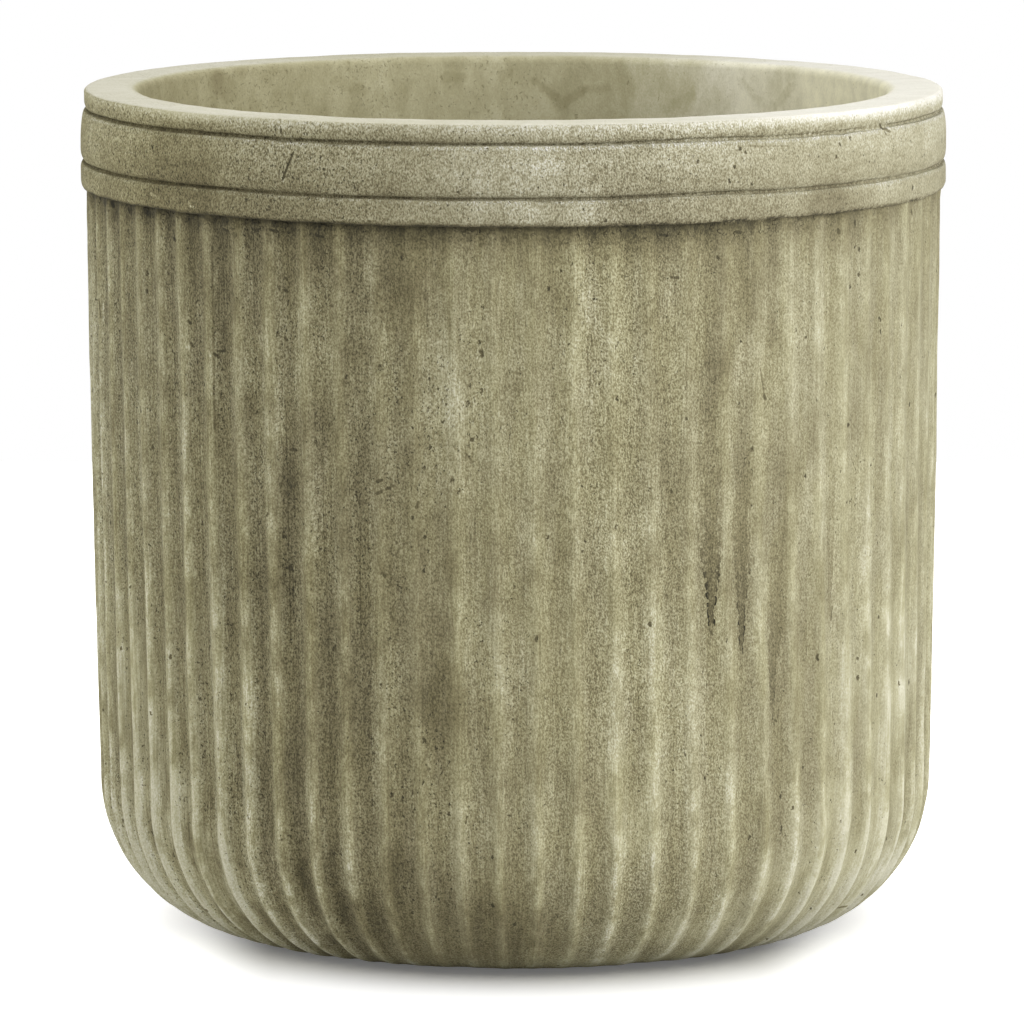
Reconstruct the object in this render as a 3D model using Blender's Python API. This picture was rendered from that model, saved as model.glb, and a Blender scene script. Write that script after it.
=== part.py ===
"""Round cement planter with a grooved collar and a fluted wall.

Three kinds of piece: the casting, the rubber plug that closes its drain hole, and the rubber
foot pads glued under its foot ring.
Metres, +Z up, -Y is the front. The origin is on the ground under the middle of the planter,
so the foot pads touch z = 0.
"""

import math

import bmesh
import bpy

# Casting, from the foot ring's underside to the top of the rim
POT_HEIGHT = 0.3888
COLLAR_RADIUS = 0.2002

# Collar: lip, band and bead, each measured to the middle of the groove beside it
LIP_HEIGHT = 0.0093
BAND_HEIGHT = 0.0238
BEAD_HEIGHT = 0.0125
LIP_INSET = 0.0017
COLLAR_OVERHANG = 0.0006
GROOVE_WIDTH = 0.0012
GROOVE_DEPTH = 0.0009
RIM_WIDTH = 0.0260
RIM_ROUND = 0.0040

# Soft edges of the collar's three mouldings, as (depth, height)
LIP_ROUND = (0.0020, 0.0020)
LIP_ROLL = (0.0012, 0.0028)
BAND_SHOULDER = (0.0019, 0.0135)
BAND_ROLL = (0.0018, 0.0050)
BEAD_SHOULDER = (0.0011, 0.0030)
BEAD_CHAMFER_HEIGHT = 0.0050

# Fluted wall: nearly upright, then a quarter turn under to the ground (ridge angle in degrees)
WALL_INSET = 0.0025
WALL_TAPER = 0.0038
CORNER_WIDTH = 0.0646
CORNER_HEIGHT = 0.0687
FLUTE_COUNT = 70
FLUTE_DEPTH = 0.0026
FLUTE_RIDGE_WIDTH = 0.0032
FLUTE_RUN_OUT = 0.0120
FIRST_RIDGE_ANGLE = -2.4

# The flutes fade over the last degrees of that turn, to a share of their depth at the ground
TOE_FADE_TURN = 30
TOE_FLUTE_SHARE = 0.15

# Hollow for the soil, and the floor under it
FLOOR_THICKNESS = 0.0300
FLOOR_FILLET = 0.0400
HOLLOW_DRAFT = 0.0045

# Underside: a flat foot ring round a shallow recess
FOOT_RING_WIDTH = 0.0290
RECESS_DEPTH = 0.0040

# Drain hole with its seat, and the plug in it
BORE_RADIUS = 0.0125
BORE_DRAFT = 0.0015
SEAT_RADIUS = 0.0235
SEAT_DEPTH = 0.0038
FLANGE_THICKNESS = 0.0035
FLANGE_CLEARANCE = 0.0010
PLUG_CLEARANCE = 0.0003
STEM_SET_BACK = 0.0020
GRIP_NECK_RADIUS = 0.0065
GRIP_NECK_HEIGHT = 0.0060
GRIP_RADIUS = 0.0105
GRIP_HEIGHT = 0.0070
GRIP_ROUND = 0.0025

# Foot pads, glued into shallow pockets in the foot ring
PAD_COUNT = 4
PAD_RADIUS = 0.0110
PAD_THICKNESS = 0.0020
PAD_STAND_OFF = 0.0008
PAD_BEVEL = 0.0004
GLUE_GAP = 0.0003

# How finely round shapes are cut, and the angle in degrees past which an edge stays sharp
ROUND_SEGMENTS = 72
CORNER_STEPS = 6
FILLET_STEPS = 4
EDGE_STEPS = 2
SCOOP_COLUMNS = 3
SMALL_SEGMENTS = 28
SHARP_ANGLE = 35

# Heights above the ground
foot_height = PAD_STAND_OFF
rim_height = foot_height + POT_HEIGHT
upper_groove_height = rim_height - LIP_HEIGHT
lower_groove_height = upper_groove_height - BAND_HEIGHT
collar_underside = lower_groove_height - BEAD_HEIGHT
floor_height = foot_height + FLOOR_THICKNESS
seat_height = floor_height - SEAT_DEPTH
recess_height = foot_height + RECESS_DEPTH

# Radii that follow from the collar
lip_radius = COLLAR_RADIUS - LIP_INSET
wall_top_radius = COLLAR_RADIUS - WALL_INSET
wall_foot_radius = wall_top_radius - WALL_TAPER
toe_radius = wall_foot_radius - CORNER_WIDTH
foot_ring_outer_radius = toe_radius - FLUTE_RUN_OUT
recess_radius = foot_ring_outer_radius - FOOT_RING_WIDTH
pad_circle_radius = (foot_ring_outer_radius + recess_radius) / 2
hollow_top_radius = lip_radius - RIM_WIDTH
hollow_foot_radius = hollow_top_radius - HOLLOW_DRAFT
bore_top_radius = BORE_RADIUS + BORE_DRAFT


def clear_scene():
    for old in list(bpy.data.objects):
        bpy.data.objects.remove(old)


def make_material(name, colour, roughness):
    material = bpy.data.materials.new(name)
    material.use_nodes = True
    shader = material.node_tree.nodes["Principled BSDF"]
    shader.inputs["Base Color"].default_value = (*colour, 1.0)
    shader.inputs["Roughness"].default_value = roughness
    shader.inputs["Metallic"].default_value = 0.0
    return material


def cement_material():
    return make_material("cement", (0.33, 0.30, 0.20), 0.93)


def plug_rubber_material():
    return make_material("plug_rubber", (0.035, 0.036, 0.038), 0.62)


def pad_rubber_material():
    return make_material("pad_rubber", (0.020, 0.020, 0.021), 0.75)


def arc(centre, radii, start, end, steps):
    """Points of an elliptical arc in (radius, height), by angle in degrees from +radius."""
    angles = [math.radians(start + (end - start) * i / steps) for i in range(steps + 1)]
    return [
        (centre[0] + radii[0] * math.cos(a), centre[1] + radii[1] * math.sin(a))
        for a in angles
    ]


def lower_edge(radius, low, roll):
    """A moulding's lower edge, rolled under by (depth, height), upwards."""
    return arc((radius - roll[0], low + roll[1]), roll, -90, 0, EDGE_STEPS)


def upper_edge(radius, high, shoulder):
    """A moulding's upper edge, rounded back by (depth, height), upwards."""
    return arc((radius - shoulder[0], high - shoulder[1]), shoulder, 0, 90, EDGE_STEPS)


def collar_outline():
    """The collar's outside as (radius, height), from its underside up to the rim's flat top."""
    half_groove = GROOVE_WIDTH / 2
    upper_groove_floor = lip_radius - LIP_ROLL[0] - GROOVE_DEPTH
    lower_groove_floor = COLLAR_RADIUS - BAND_ROLL[0] - GROOVE_DEPTH
    outline = [
        (wall_top_radius + COLLAR_OVERHANG, collar_underside),
        (COLLAR_RADIUS, collar_underside + BEAD_CHAMFER_HEIGHT),
    ]
    outline += upper_edge(COLLAR_RADIUS, lower_groove_height - half_groove, BEAD_SHOULDER)
    outline.append((lower_groove_floor, lower_groove_height))
    outline += lower_edge(COLLAR_RADIUS, lower_groove_height + half_groove, BAND_ROLL)
    outline += upper_edge(COLLAR_RADIUS, upper_groove_height - half_groove, BAND_SHOULDER)
    outline.append((upper_groove_floor, upper_groove_height))
    outline += lower_edge(lip_radius, upper_groove_height + half_groove, LIP_ROLL)
    outline += upper_edge(lip_radius, rim_height, LIP_ROUND)
    return outline


def hollow_outline():
    """From the rim's inner edge down the hollow, through the drain hole and out under the base."""
    rim_centre = (hollow_top_radius + RIM_ROUND, rim_height - RIM_ROUND)
    fillet_centre = (hollow_foot_radius - FLOOR_FILLET, floor_height + FLOOR_FILLET)
    outline = arc(rim_centre, (RIM_ROUND, RIM_ROUND), 90, 180, EDGE_STEPS)
    outline += arc(fillet_centre, (FLOOR_FILLET, FLOOR_FILLET), 0, -90, FILLET_STEPS)
    outline += [
        (SEAT_RADIUS, floor_height),
        (SEAT_RADIUS, seat_height),
        (bore_top_radius, seat_height),
        (BORE_RADIUS, recess_height),
        (recess_radius, recess_height),
        (recess_radius, foot_height),
        (foot_ring_outer_radius, foot_height),
    ]
    return outline


def flute_columns():
    """Every column of the fluted wall as (angle, cut), with cut 0 on a ridge and 1 in a valley.

    A ridge is a narrow flat with a column at each edge. The valley beside it is a scoop whose
    cut follows a parabola.
    """
    pitch = 2 * math.pi / FLUTE_COUNT
    ridge = FLUTE_RIDGE_WIDTH / wall_top_radius
    columns = []
    for flute in range(FLUTE_COUNT):
        middle = math.radians(FIRST_RIDGE_ANGLE) + flute * pitch
        columns.append((middle - ridge / 2, 0.0))
        for step in range(SCOOP_COLUMNS + 1):
            along = step / (SCOOP_COLUMNS + 1)
            angle = middle + ridge / 2 + along * (pitch - ridge)
            columns.append((angle, 1 - (2 * along - 1) ** 2))
    return columns


def plain_ring(mesh, radius, height):
    """A closed ring of vertices. Angle 0 is the front, and angles grow towards +X."""
    ring = []
    for step in range(ROUND_SEGMENTS):
        angle = 2 * math.pi * step / ROUND_SEGMENTS
        ring.append(mesh.verts.new((radius * math.sin(angle), -radius * math.cos(angle), height)))
    return ring


def toe_share(turn):
    """Share of the flutes' depth that is left at a turn under the wall, in degrees."""
    remaining = min(1.0, (90 - turn) / TOE_FADE_TURN)
    return TOE_FLUTE_SHARE + (1 - TOE_FLUTE_SHARE) * remaining


def fluted_ring(mesh, columns, radius, height, outward, depth=FLUTE_DEPTH):
    """A ring whose valleys lie `depth` behind (radius, height), against its outward slope."""
    ring = []
    for angle, cut in columns:
        r = radius - outward[0] * depth * cut
        z = height - outward[1] * depth * cut
        ring.append(mesh.verts.new((r * math.sin(angle), -r * math.cos(angle), z)))
    return ring


def fluted_rings(mesh):
    """The fluted rings from under the collar, down the wall and round the corner to the toes."""
    columns = flute_columns()
    rings = [fluted_ring(mesh, columns, wall_top_radius, collar_underside, (1.0, 0.0))]
    for step in range(CORNER_STEPS + 1):
        turn = math.pi / 2 * step / CORNER_STEPS
        radius = toe_radius + CORNER_WIDTH * math.cos(turn)
        height = foot_height + CORNER_HEIGHT * (1 - math.sin(turn))
        slope = (math.cos(turn) / CORNER_WIDTH, -math.sin(turn) / CORNER_HEIGHT)
        length = math.hypot(*slope)
        outward = (slope[0] / length, slope[1] / length)
        depth = FLUTE_DEPTH * toe_share(90 * step / CORNER_STEPS)
        rings.append(fluted_ring(mesh, columns, radius, height, outward, depth))
    return rings


def join_alike(mesh, rings):
    """Quads between neighbouring rings of the same count."""
    for low, high in zip(rings, rings[1:]):
        count = len(low)
        for i in range(count):
            j = (i + 1) % count
            mesh.faces.new((low[i], low[j], high[j], high[i]))


def by_angle(ring):
    """The ring as (angle, vertex) with angles rising from the front, and its start again at the end."""
    full_turn = 2 * math.pi
    spots = [(math.atan2(vertex.co.x, -vertex.co.y) % full_turn, vertex) for vertex in ring]
    spots.sort(key=lambda spot: spot[0])
    start_angle, start_vertex = spots[0]
    return spots + [(start_angle + full_turn, start_vertex)]


def join_unlike(mesh, ring_a, ring_b):
    """Triangles between rings of unlike counts: each one moves on along the ring that lags."""
    a, b = by_angle(ring_a), by_angle(ring_b)
    i = j = 0
    while i < len(a) - 1 or j < len(b) - 1:
        a_lags = j == len(b) - 1 or (i < len(a) - 1 and a[i + 1][0] <= b[j + 1][0])
        if a_lags:
            mesh.faces.new((a[i][1], a[i + 1][1], b[j][1]))
            i += 1
        else:
            mesh.faces.new((a[i][1], b[j + 1][1], b[j][1]))
            j += 1


def finish_mesh(mesh, name):
    """Turns the faces out and shades round surfaces smooth between sharp edges."""
    bmesh.ops.recalc_face_normals(mesh, faces=mesh.faces)
    data = bpy.data.meshes.new(name)
    mesh.to_mesh(data)
    mesh.free()
    data.shade_smooth()
    data.set_sharp_from_angle(angle=math.radians(SHARP_ANGLE))
    return data


def add_object(name, data, parent, location=(0.0, 0.0, 0.0)):
    item = bpy.data.objects.new(name, data)
    bpy.context.scene.collection.objects.link(item)
    item.parent = parent
    item.location = location
    return item


def turned_mesh(name, outline):
    """A solid of revolution about Z. The outline starts and ends on the axis."""
    mesh = bmesh.new()
    profile = [mesh.verts.new((radius, 0.0, height)) for radius, height in outline]
    edges = [mesh.edges.new(pair) for pair in zip(profile, profile[1:])]
    bmesh.ops.spin(
        mesh,
        geom=profile + edges,
        cent=(0, 0, 0),
        axis=(0, 0, 1),
        angle=2 * math.pi,
        steps=SMALL_SEGMENTS,
        use_merge=True,
    )
    bmesh.ops.remove_doubles(mesh, verts=mesh.verts, dist=0.00001)
    return finish_mesh(mesh, name)


def pad_places():
    """Centres of the foot pads as (x, y), the first one turned half a step off the front."""
    step = 2 * math.pi / PAD_COUNT
    for i in range(PAD_COUNT):
        angle = (i + 0.5) * step
        yield pad_circle_radius * math.sin(angle), -pad_circle_radius * math.cos(angle)


def pad_pocket_cutter(parent):
    """The pockets as one hidden cutter: a short drum for each pad, sunk into the foot ring."""
    pocket_depth = PAD_THICKNESS - PAD_STAND_OFF + GLUE_GAP
    mesh = bmesh.new()
    for x, y in pad_places():
        made = bmesh.ops.create_cone(
            mesh,
            cap_ends=True,
            segments=SMALL_SEGMENTS,
            radius1=PAD_RADIUS + GLUE_GAP,
            radius2=PAD_RADIUS + GLUE_GAP,
            depth=2 * pocket_depth,
        )
        bmesh.ops.translate(mesh, verts=made["verts"], vec=(x, y, foot_height))
    cutter = add_object("pad_pocket_cutter", finish_mesh(mesh, "pad_pocket_cutter"), parent)
    cutter.hide_render = True
    cutter.display_type = "WIRE"
    return cutter


def build_pot_body(parent, material):
    """The casting: fluted wall, collar, rim, hollow, floor with its drain hole, and foot ring."""
    mesh = bmesh.new()
    fluted = fluted_rings(mesh)
    plain = [plain_ring(mesh, *point) for point in collar_outline() + hollow_outline()]
    join_alike(mesh, fluted)
    join_alike(mesh, plain)
    join_unlike(mesh, fluted[0], plain[0])
    join_unlike(mesh, fluted[-1], plain[-1])
    pot = add_object("pot_body", finish_mesh(mesh, "pot_body"), parent)
    pot.data.materials.append(material)
    pockets = pot.modifiers.new("pad_pockets", "BOOLEAN")
    pockets.operation = "DIFFERENCE"
    pockets.solver = "EXACT"
    pockets.object = pad_pocket_cutter(parent)
    return pot


def build_drain_plug(parent, material):
    """The plug, turned about its own axis, with height 0 at the underside of its flange."""
    stem_bottom = recess_height + STEM_SET_BACK - seat_height - PLUG_CLEARANCE
    stem_top_radius = bore_top_radius - PLUG_CLEARANCE
    stem_bottom_radius = BORE_RADIUS - PLUG_CLEARANCE
    flange_radius = SEAT_RADIUS - FLANGE_CLEARANCE
    neck_top = FLANGE_THICKNESS + GRIP_NECK_HEIGHT
    grip_top = neck_top + GRIP_HEIGHT
    grip_edge = GRIP_RADIUS - GRIP_ROUND
    outline = [
        (0.0, stem_bottom),
        (stem_bottom_radius, stem_bottom),
        (stem_top_radius, 0.0),
        (flange_radius, 0.0),
        (flange_radius, FLANGE_THICKNESS),
        (GRIP_NECK_RADIUS, FLANGE_THICKNESS),
        (GRIP_NECK_RADIUS, neck_top),
    ]
    outline += arc((grip_edge, neck_top + GRIP_ROUND), (GRIP_ROUND, GRIP_ROUND), -90, 0, EDGE_STEPS)
    outline += arc((grip_edge, grip_top - GRIP_ROUND), (GRIP_ROUND, GRIP_ROUND), 0, 90, EDGE_STEPS)
    outline.append((0.0, grip_top))
    place = (0.0, 0.0, seat_height + PLUG_CLEARANCE)
    plug = add_object("drain_plug", turned_mesh("drain_plug", outline), parent, place)
    plug.data.materials.append(material)
    return plug


def build_foot_pads(parent, material):
    """Flat rubber discs with a bevelled lower edge, one shared mesh under four names."""
    outline = [
        (0.0, 0.0),
        (PAD_RADIUS - PAD_BEVEL, 0.0),
        (PAD_RADIUS, PAD_BEVEL),
        (PAD_RADIUS, PAD_THICKNESS),
        (0.0, PAD_THICKNESS),
    ]
    data = turned_mesh("foot_pad", outline)
    data.materials.append(material)
    for number, (x, y) in enumerate(pad_places(), start=1):
        add_object(f"foot_pad_{number}", data, parent, (x, y, 0.0))


def main():
    clear_scene()
    planter = bpy.data.objects.new("planter", None)
    bpy.context.scene.collection.objects.link(planter)
    build_pot_body(planter, cement_material())
    build_drain_plug(planter, plug_rubber_material())
    build_foot_pads(planter, pad_rubber_material())


main()
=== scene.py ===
# %% [markdown]
# # A fluted cement planter
#
# The real planter is cast in one piece. A stiff mix of cement and fine sand goes into an outer mould with
# upright flutes and a plain collar, round a smooth core that leaves the hollow. When it comes out of the
# mould it is weathered: pale where it is rubbed, dark and olive where rain and dirt stay.
#
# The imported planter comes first, as a fixed frame. Every new piece takes its place and its size from it.

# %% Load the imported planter
import math

import bpy
import numpy as np
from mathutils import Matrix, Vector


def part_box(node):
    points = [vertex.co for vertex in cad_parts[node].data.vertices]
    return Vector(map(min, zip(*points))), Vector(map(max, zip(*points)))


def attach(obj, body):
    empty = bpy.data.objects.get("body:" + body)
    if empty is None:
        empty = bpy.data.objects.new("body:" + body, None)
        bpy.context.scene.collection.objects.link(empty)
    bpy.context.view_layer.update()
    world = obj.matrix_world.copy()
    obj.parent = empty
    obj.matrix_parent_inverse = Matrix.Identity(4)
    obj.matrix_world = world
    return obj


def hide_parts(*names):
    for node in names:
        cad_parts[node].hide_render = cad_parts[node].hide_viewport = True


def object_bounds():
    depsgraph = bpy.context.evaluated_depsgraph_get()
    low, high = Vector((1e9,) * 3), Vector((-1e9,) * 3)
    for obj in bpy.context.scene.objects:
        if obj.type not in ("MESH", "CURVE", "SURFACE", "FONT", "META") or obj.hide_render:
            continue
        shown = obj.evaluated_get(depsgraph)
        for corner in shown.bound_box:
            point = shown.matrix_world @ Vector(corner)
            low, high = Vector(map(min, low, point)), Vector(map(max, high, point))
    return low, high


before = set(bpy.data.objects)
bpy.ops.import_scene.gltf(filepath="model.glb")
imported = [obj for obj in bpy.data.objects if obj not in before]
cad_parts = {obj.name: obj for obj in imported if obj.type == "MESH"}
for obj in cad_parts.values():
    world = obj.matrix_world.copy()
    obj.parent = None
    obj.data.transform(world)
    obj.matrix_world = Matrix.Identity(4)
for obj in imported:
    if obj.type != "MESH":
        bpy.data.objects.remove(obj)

cad_low, cad_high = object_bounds()
body_low, body_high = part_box("pot_body")
FOOT = body_low.z
RIM = body_high.z
COLLAR_RADIUS = body_high.x
print(f"Casting: {2 * COLLAR_RADIUS:.4f} m across, from {FOOT:.4f} to {RIM:.4f} m high")

# %% [markdown]
# ## Camera
#
# The photograph was taken from a little above the rim and from far away: the rim's ellipse is flat and the
# wall's edges stay nearly parallel. A long lens a few metres off gives that. A shorter lens would open the
# rim's ellipse and make the foot look small.

# %% Camera
CAMERA_DISTANCE = 3.6036
CAMERA_HEIGHT = 0.6957
CAMERA_SIDE = -0.0006
CAMERA_PITCH = 7.98
CAMERA_LENS = 274.7

camera = bpy.data.objects.new("camera", bpy.data.cameras.new("camera"))
bpy.context.scene.collection.objects.link(camera)
camera.location = (CAMERA_SIDE, -CAMERA_DISTANCE, CAMERA_HEIGHT)
camera.rotation_euler = (math.radians(90 - CAMERA_PITCH), 0, 0)
camera.data.lens = CAMERA_LENS
bpy.context.scene.camera = camera
print(f"Camera: {CAMERA_DISTANCE} m in front, {CAMERA_LENS} mm lens")

# %% [markdown]
# ## Mesh helpers
#
# Every surface here is a grid: rows go along an outline, columns go round the axis. Angle 0 is the front
# (-Y) and angles grow towards the right (+X), so a place seen in the photograph is an angle and a height.
# Cast cement is never quite true, so the grids are moved by smooth noise that closes round the pot. The
# noise could come from Displace modifiers, but worked out as arrays it can also be stored for the material.

# %% Easing and noise
def ease(t):
    """3t^2 - 2t^3 on t kept between 0 and 1: a step with no corner at either end."""
    t = np.clip(t, 0, 1)
    return t * t * (3 - 2 * t)


def wander(around, up, cells, seed):
    """Smooth noise from -1 to 1: random numbers on a lattice, eased between the nearest four.

    `around` counts cells round the pot and closes after `cells` of them. `up` counts cells upwards.
    """
    storeys = 128
    lattice = np.random.default_rng(seed).uniform(-1, 1, (cells, storeys))
    around, up = np.broadcast_arrays(around, up)
    column, storey = np.floor(around).astype(int), np.floor(up).astype(int)
    across, along = ease(around - column), ease(up - storey)
    here, there = column % cells, (column + 1) % cells
    low, high = storey % storeys, (storey + 1) % storeys
    lower = (1 - across) * lattice[here, low] + across * lattice[there, low]
    upper = (1 - across) * lattice[here, high] + across * lattice[there, high]
    return (1 - along) * lower + along * upper


def half_turns(angle):
    """Angles in radians as degrees from -180 to 180."""
    return (np.degrees(angle) + 180) % 360 - 180


def between(angle, start, end, soft):
    """1 from angle `start` to `end` in degrees and 0 outside, eased over `soft` degrees."""
    return ease((angle - start) / soft + 0.5) * ease((end - angle) / soft + 0.5)


def arc(centre, radii, start, end, count):
    """`count` points of an ellipse as (radius, height): centre + radii * (cos, sin), by degrees."""
    turn = np.radians(np.linspace(start, end, count))
    return np.stack([centre[0] + radii[0] * np.cos(turn), centre[1] + radii[1] * np.sin(turn)], axis=1)


def run(start, end, count):
    """`count` points spaced evenly inside the straight line from start to end, without its ends."""
    share = np.linspace(0, 1, count + 2)[1:-1, None]
    return (1 - share) * np.array(start) + share * np.array(end)


# %% Turned grids
def outward(outline):
    """Unit normals of an outline as (radius, height): its direction turned a quarter to the right."""
    along = np.gradient(outline, axis=0)
    normal = np.stack([along[:, 1], -along[:, 0]], axis=1)
    return normal / np.linalg.norm(normal, axis=1, keepdims=True)


def turned(radius, height, angle):
    """Grid of points (radius sin angle, -radius cos angle, height), angle in radians."""
    radius, height, angle = np.broadcast_arrays(radius, height, angle)
    return np.stack([radius * np.sin(angle), -radius * np.cos(angle), height], axis=-1)


def unevenness(angle, height):
    """How far the cast surface lies behind its true shape, in metres: broad waves and small lumps."""
    share = angle / (2 * np.pi)
    waves = wander(share * 46, height / 0.027, 46, 11)
    lumps = wander(share * 150, height / 0.0085, 150, 12)
    return 0.00022 * (1 + waves) + 0.00010 * (1 + lumps)


# %% [markdown]
# ## The fluted wall
#
# The wall is almost upright and turns under to the ground in a quarter of an ellipse. Seventy flutes run
# down it, about 18 mm apart: rounded ridges with wider scoops between them. They were cut in the mould by
# hand, so their spacing, depth and line all waver. Each flute gets ten columns, closer together near the
# ridge, where the surface bends most, and the waver moves the columns themselves, so that a ridge always
# lies on a row of points.

# %% Sizes of the wall
WALL_INSET = 0.0025
WALL_TAPER = 0.0038
WALL_BELLY = 0.0005
CORNER_WIDTH = 0.0646
CORNER_HEIGHT = 0.0687
COLLAR_UNDERSIDE = RIM - 0.0456
LEAN = 0.0009
FLUTE_COUNT = 70
FLUTE_DEPTH = 0.0026
FLUTE_RUN_OUT = 0.0120
FIRST_RIDGE_ANGLE = -2.4
FLUTE_PHASES = np.array([-0.34, -0.20, -0.11, -0.045, 0, 0.045, 0.11, 0.20, 0.34, 0.5])
MEAN_RIDGE = 0.37
STRENGTH_ANGLES = (-180, -100, -36, -24, -15, 3, 14, 30, 45, 75, 100, 180)
STRENGTHS = (1.0, 1.1, 1.1, 0.8, 0.40, 0.38, 0.52, 0.52, 0.58, 0.66, 1.0, 1.0)

wall_top_radius = COLLAR_RADIUS - WALL_INSET
wall_foot_radius = wall_top_radius - WALL_TAPER
toe_radius = wall_foot_radius - CORNER_WIDTH
foot_ring_radius = toe_radius - FLUTE_RUN_OUT
corner_top = FOOT + CORNER_HEIGHT


def wall_outline():
    """The ridges' outline, upwards: under the toes, a quarter ellipse, then a slightly bellied wall."""
    under_toes = run((foot_ring_radius, FOOT), (toe_radius, FOOT), 3)
    corner = arc((toe_radius, corner_top), (CORNER_WIDTH, CORNER_HEIGHT), -90, 0, 29)
    rise = np.concatenate([np.linspace(0, 0.968, 50)[1:], np.linspace(0.975, 1, 7)])
    radius = wall_foot_radius + WALL_TAPER * rise + WALL_BELLY * np.sin(np.pi * rise)
    wall = np.stack([radius, corner_top + (COLLAR_UNDERSIDE - corner_top) * rise], axis=1)
    return np.concatenate([under_toes, corner, wall])


# %% Flutes
def flute_grid(outline):
    """Angles of the columns at every row, how far each point is cut in, from 0 to 1, and its flute number.

    The cut is 1 - (1/2 + 1/2 cos 2 pi u)^p, with u the share of a flute from its ridge. With p above 1 the
    ridge is narrower than the scoop, most of all near the ground. Each ridge has its own shift, and wanders
    along its height.
    """
    flute = (np.arange(FLUTE_COUNT)[:, None] + FLUTE_PHASES).ravel()
    height = outline[:, 1:2]
    own_shift = wander(flute, 0.5, FLUTE_COUNT, 21)
    waver = wander(flute, height / 0.085, FLUTE_COUNT, 22)
    waver = waver + 0.5 * wander(flute, height / 0.03, FLUTE_COUNT, 23)
    ridge_drift = 0.8 * (1 - height / RIM)
    degrees = FIRST_RIDGE_ANGLE - 0.4 + ridge_drift + flute * 360 / FLUTE_COUNT
    degrees = degrees + 2.3 * ease((0.28 - height) / 0.26) * between(degrees, 24, 130, 40)
    degrees = degrees + 0.32 * own_shift + 0.16 * waver
    power = 1.7 + 0.8 * ease((0.12 - height) / 0.08)
    cut = 1 - (0.5 + 0.5 * np.cos(2 * np.pi * flute)) ** power
    return np.radians(degrees), cut, flute


def flute_strength(angle, height):
    """How strongly the flutes show, 1 as the mould was cut: worn nearly smooth at the front, strong below.

    Round the pot the strength goes evenly from one of the listed angles to the next. Towards the ground it
    grows by a quarter and a little more, and on the upper wall a third is worn away.
    """
    degrees = half_turns(angle)
    round_pot = np.interp(degrees, STRENGTH_ANGLES, STRENGTHS)
    low = ease((0.13 - height) / 0.09)
    worn = 0.36 * ease((height - 0.16) / 0.08)
    return round_pot * (1 + 0.25 * low - worn) + 0.12 * low


def flute_depth(outline, angle):
    """Depth of the flutes in metres: their strength, made uneven, and fading out at the toes."""
    height = outline[:, 1:2]
    flute = angle / (2 * np.pi) * FLUTE_COUNT
    degrees = half_turns(angle)
    uneven = 0.24 * wander(flute, height / 0.045, FLUTE_COUNT, 31)
    uneven = uneven + 0.12 * wander(flute, height / 0.018, FLUTE_COUNT, 32)
    uneven = uneven + 0.12 * wander(flute / 7, height / 0.12, 10, 33)
    toe_height = 0.010 + 0.016 * between(degrees, -24, 40, 20) + 0.004 * wander(flute / 7, 0.5, 10, 34)
    fading = ease((height - FOOT) / toe_height)
    share = np.minimum(flute_strength(angle, height), 1.2)
    return FLUTE_DEPTH * share * (1 + uneven) * (0.12 + 0.88 * fading)
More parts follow.
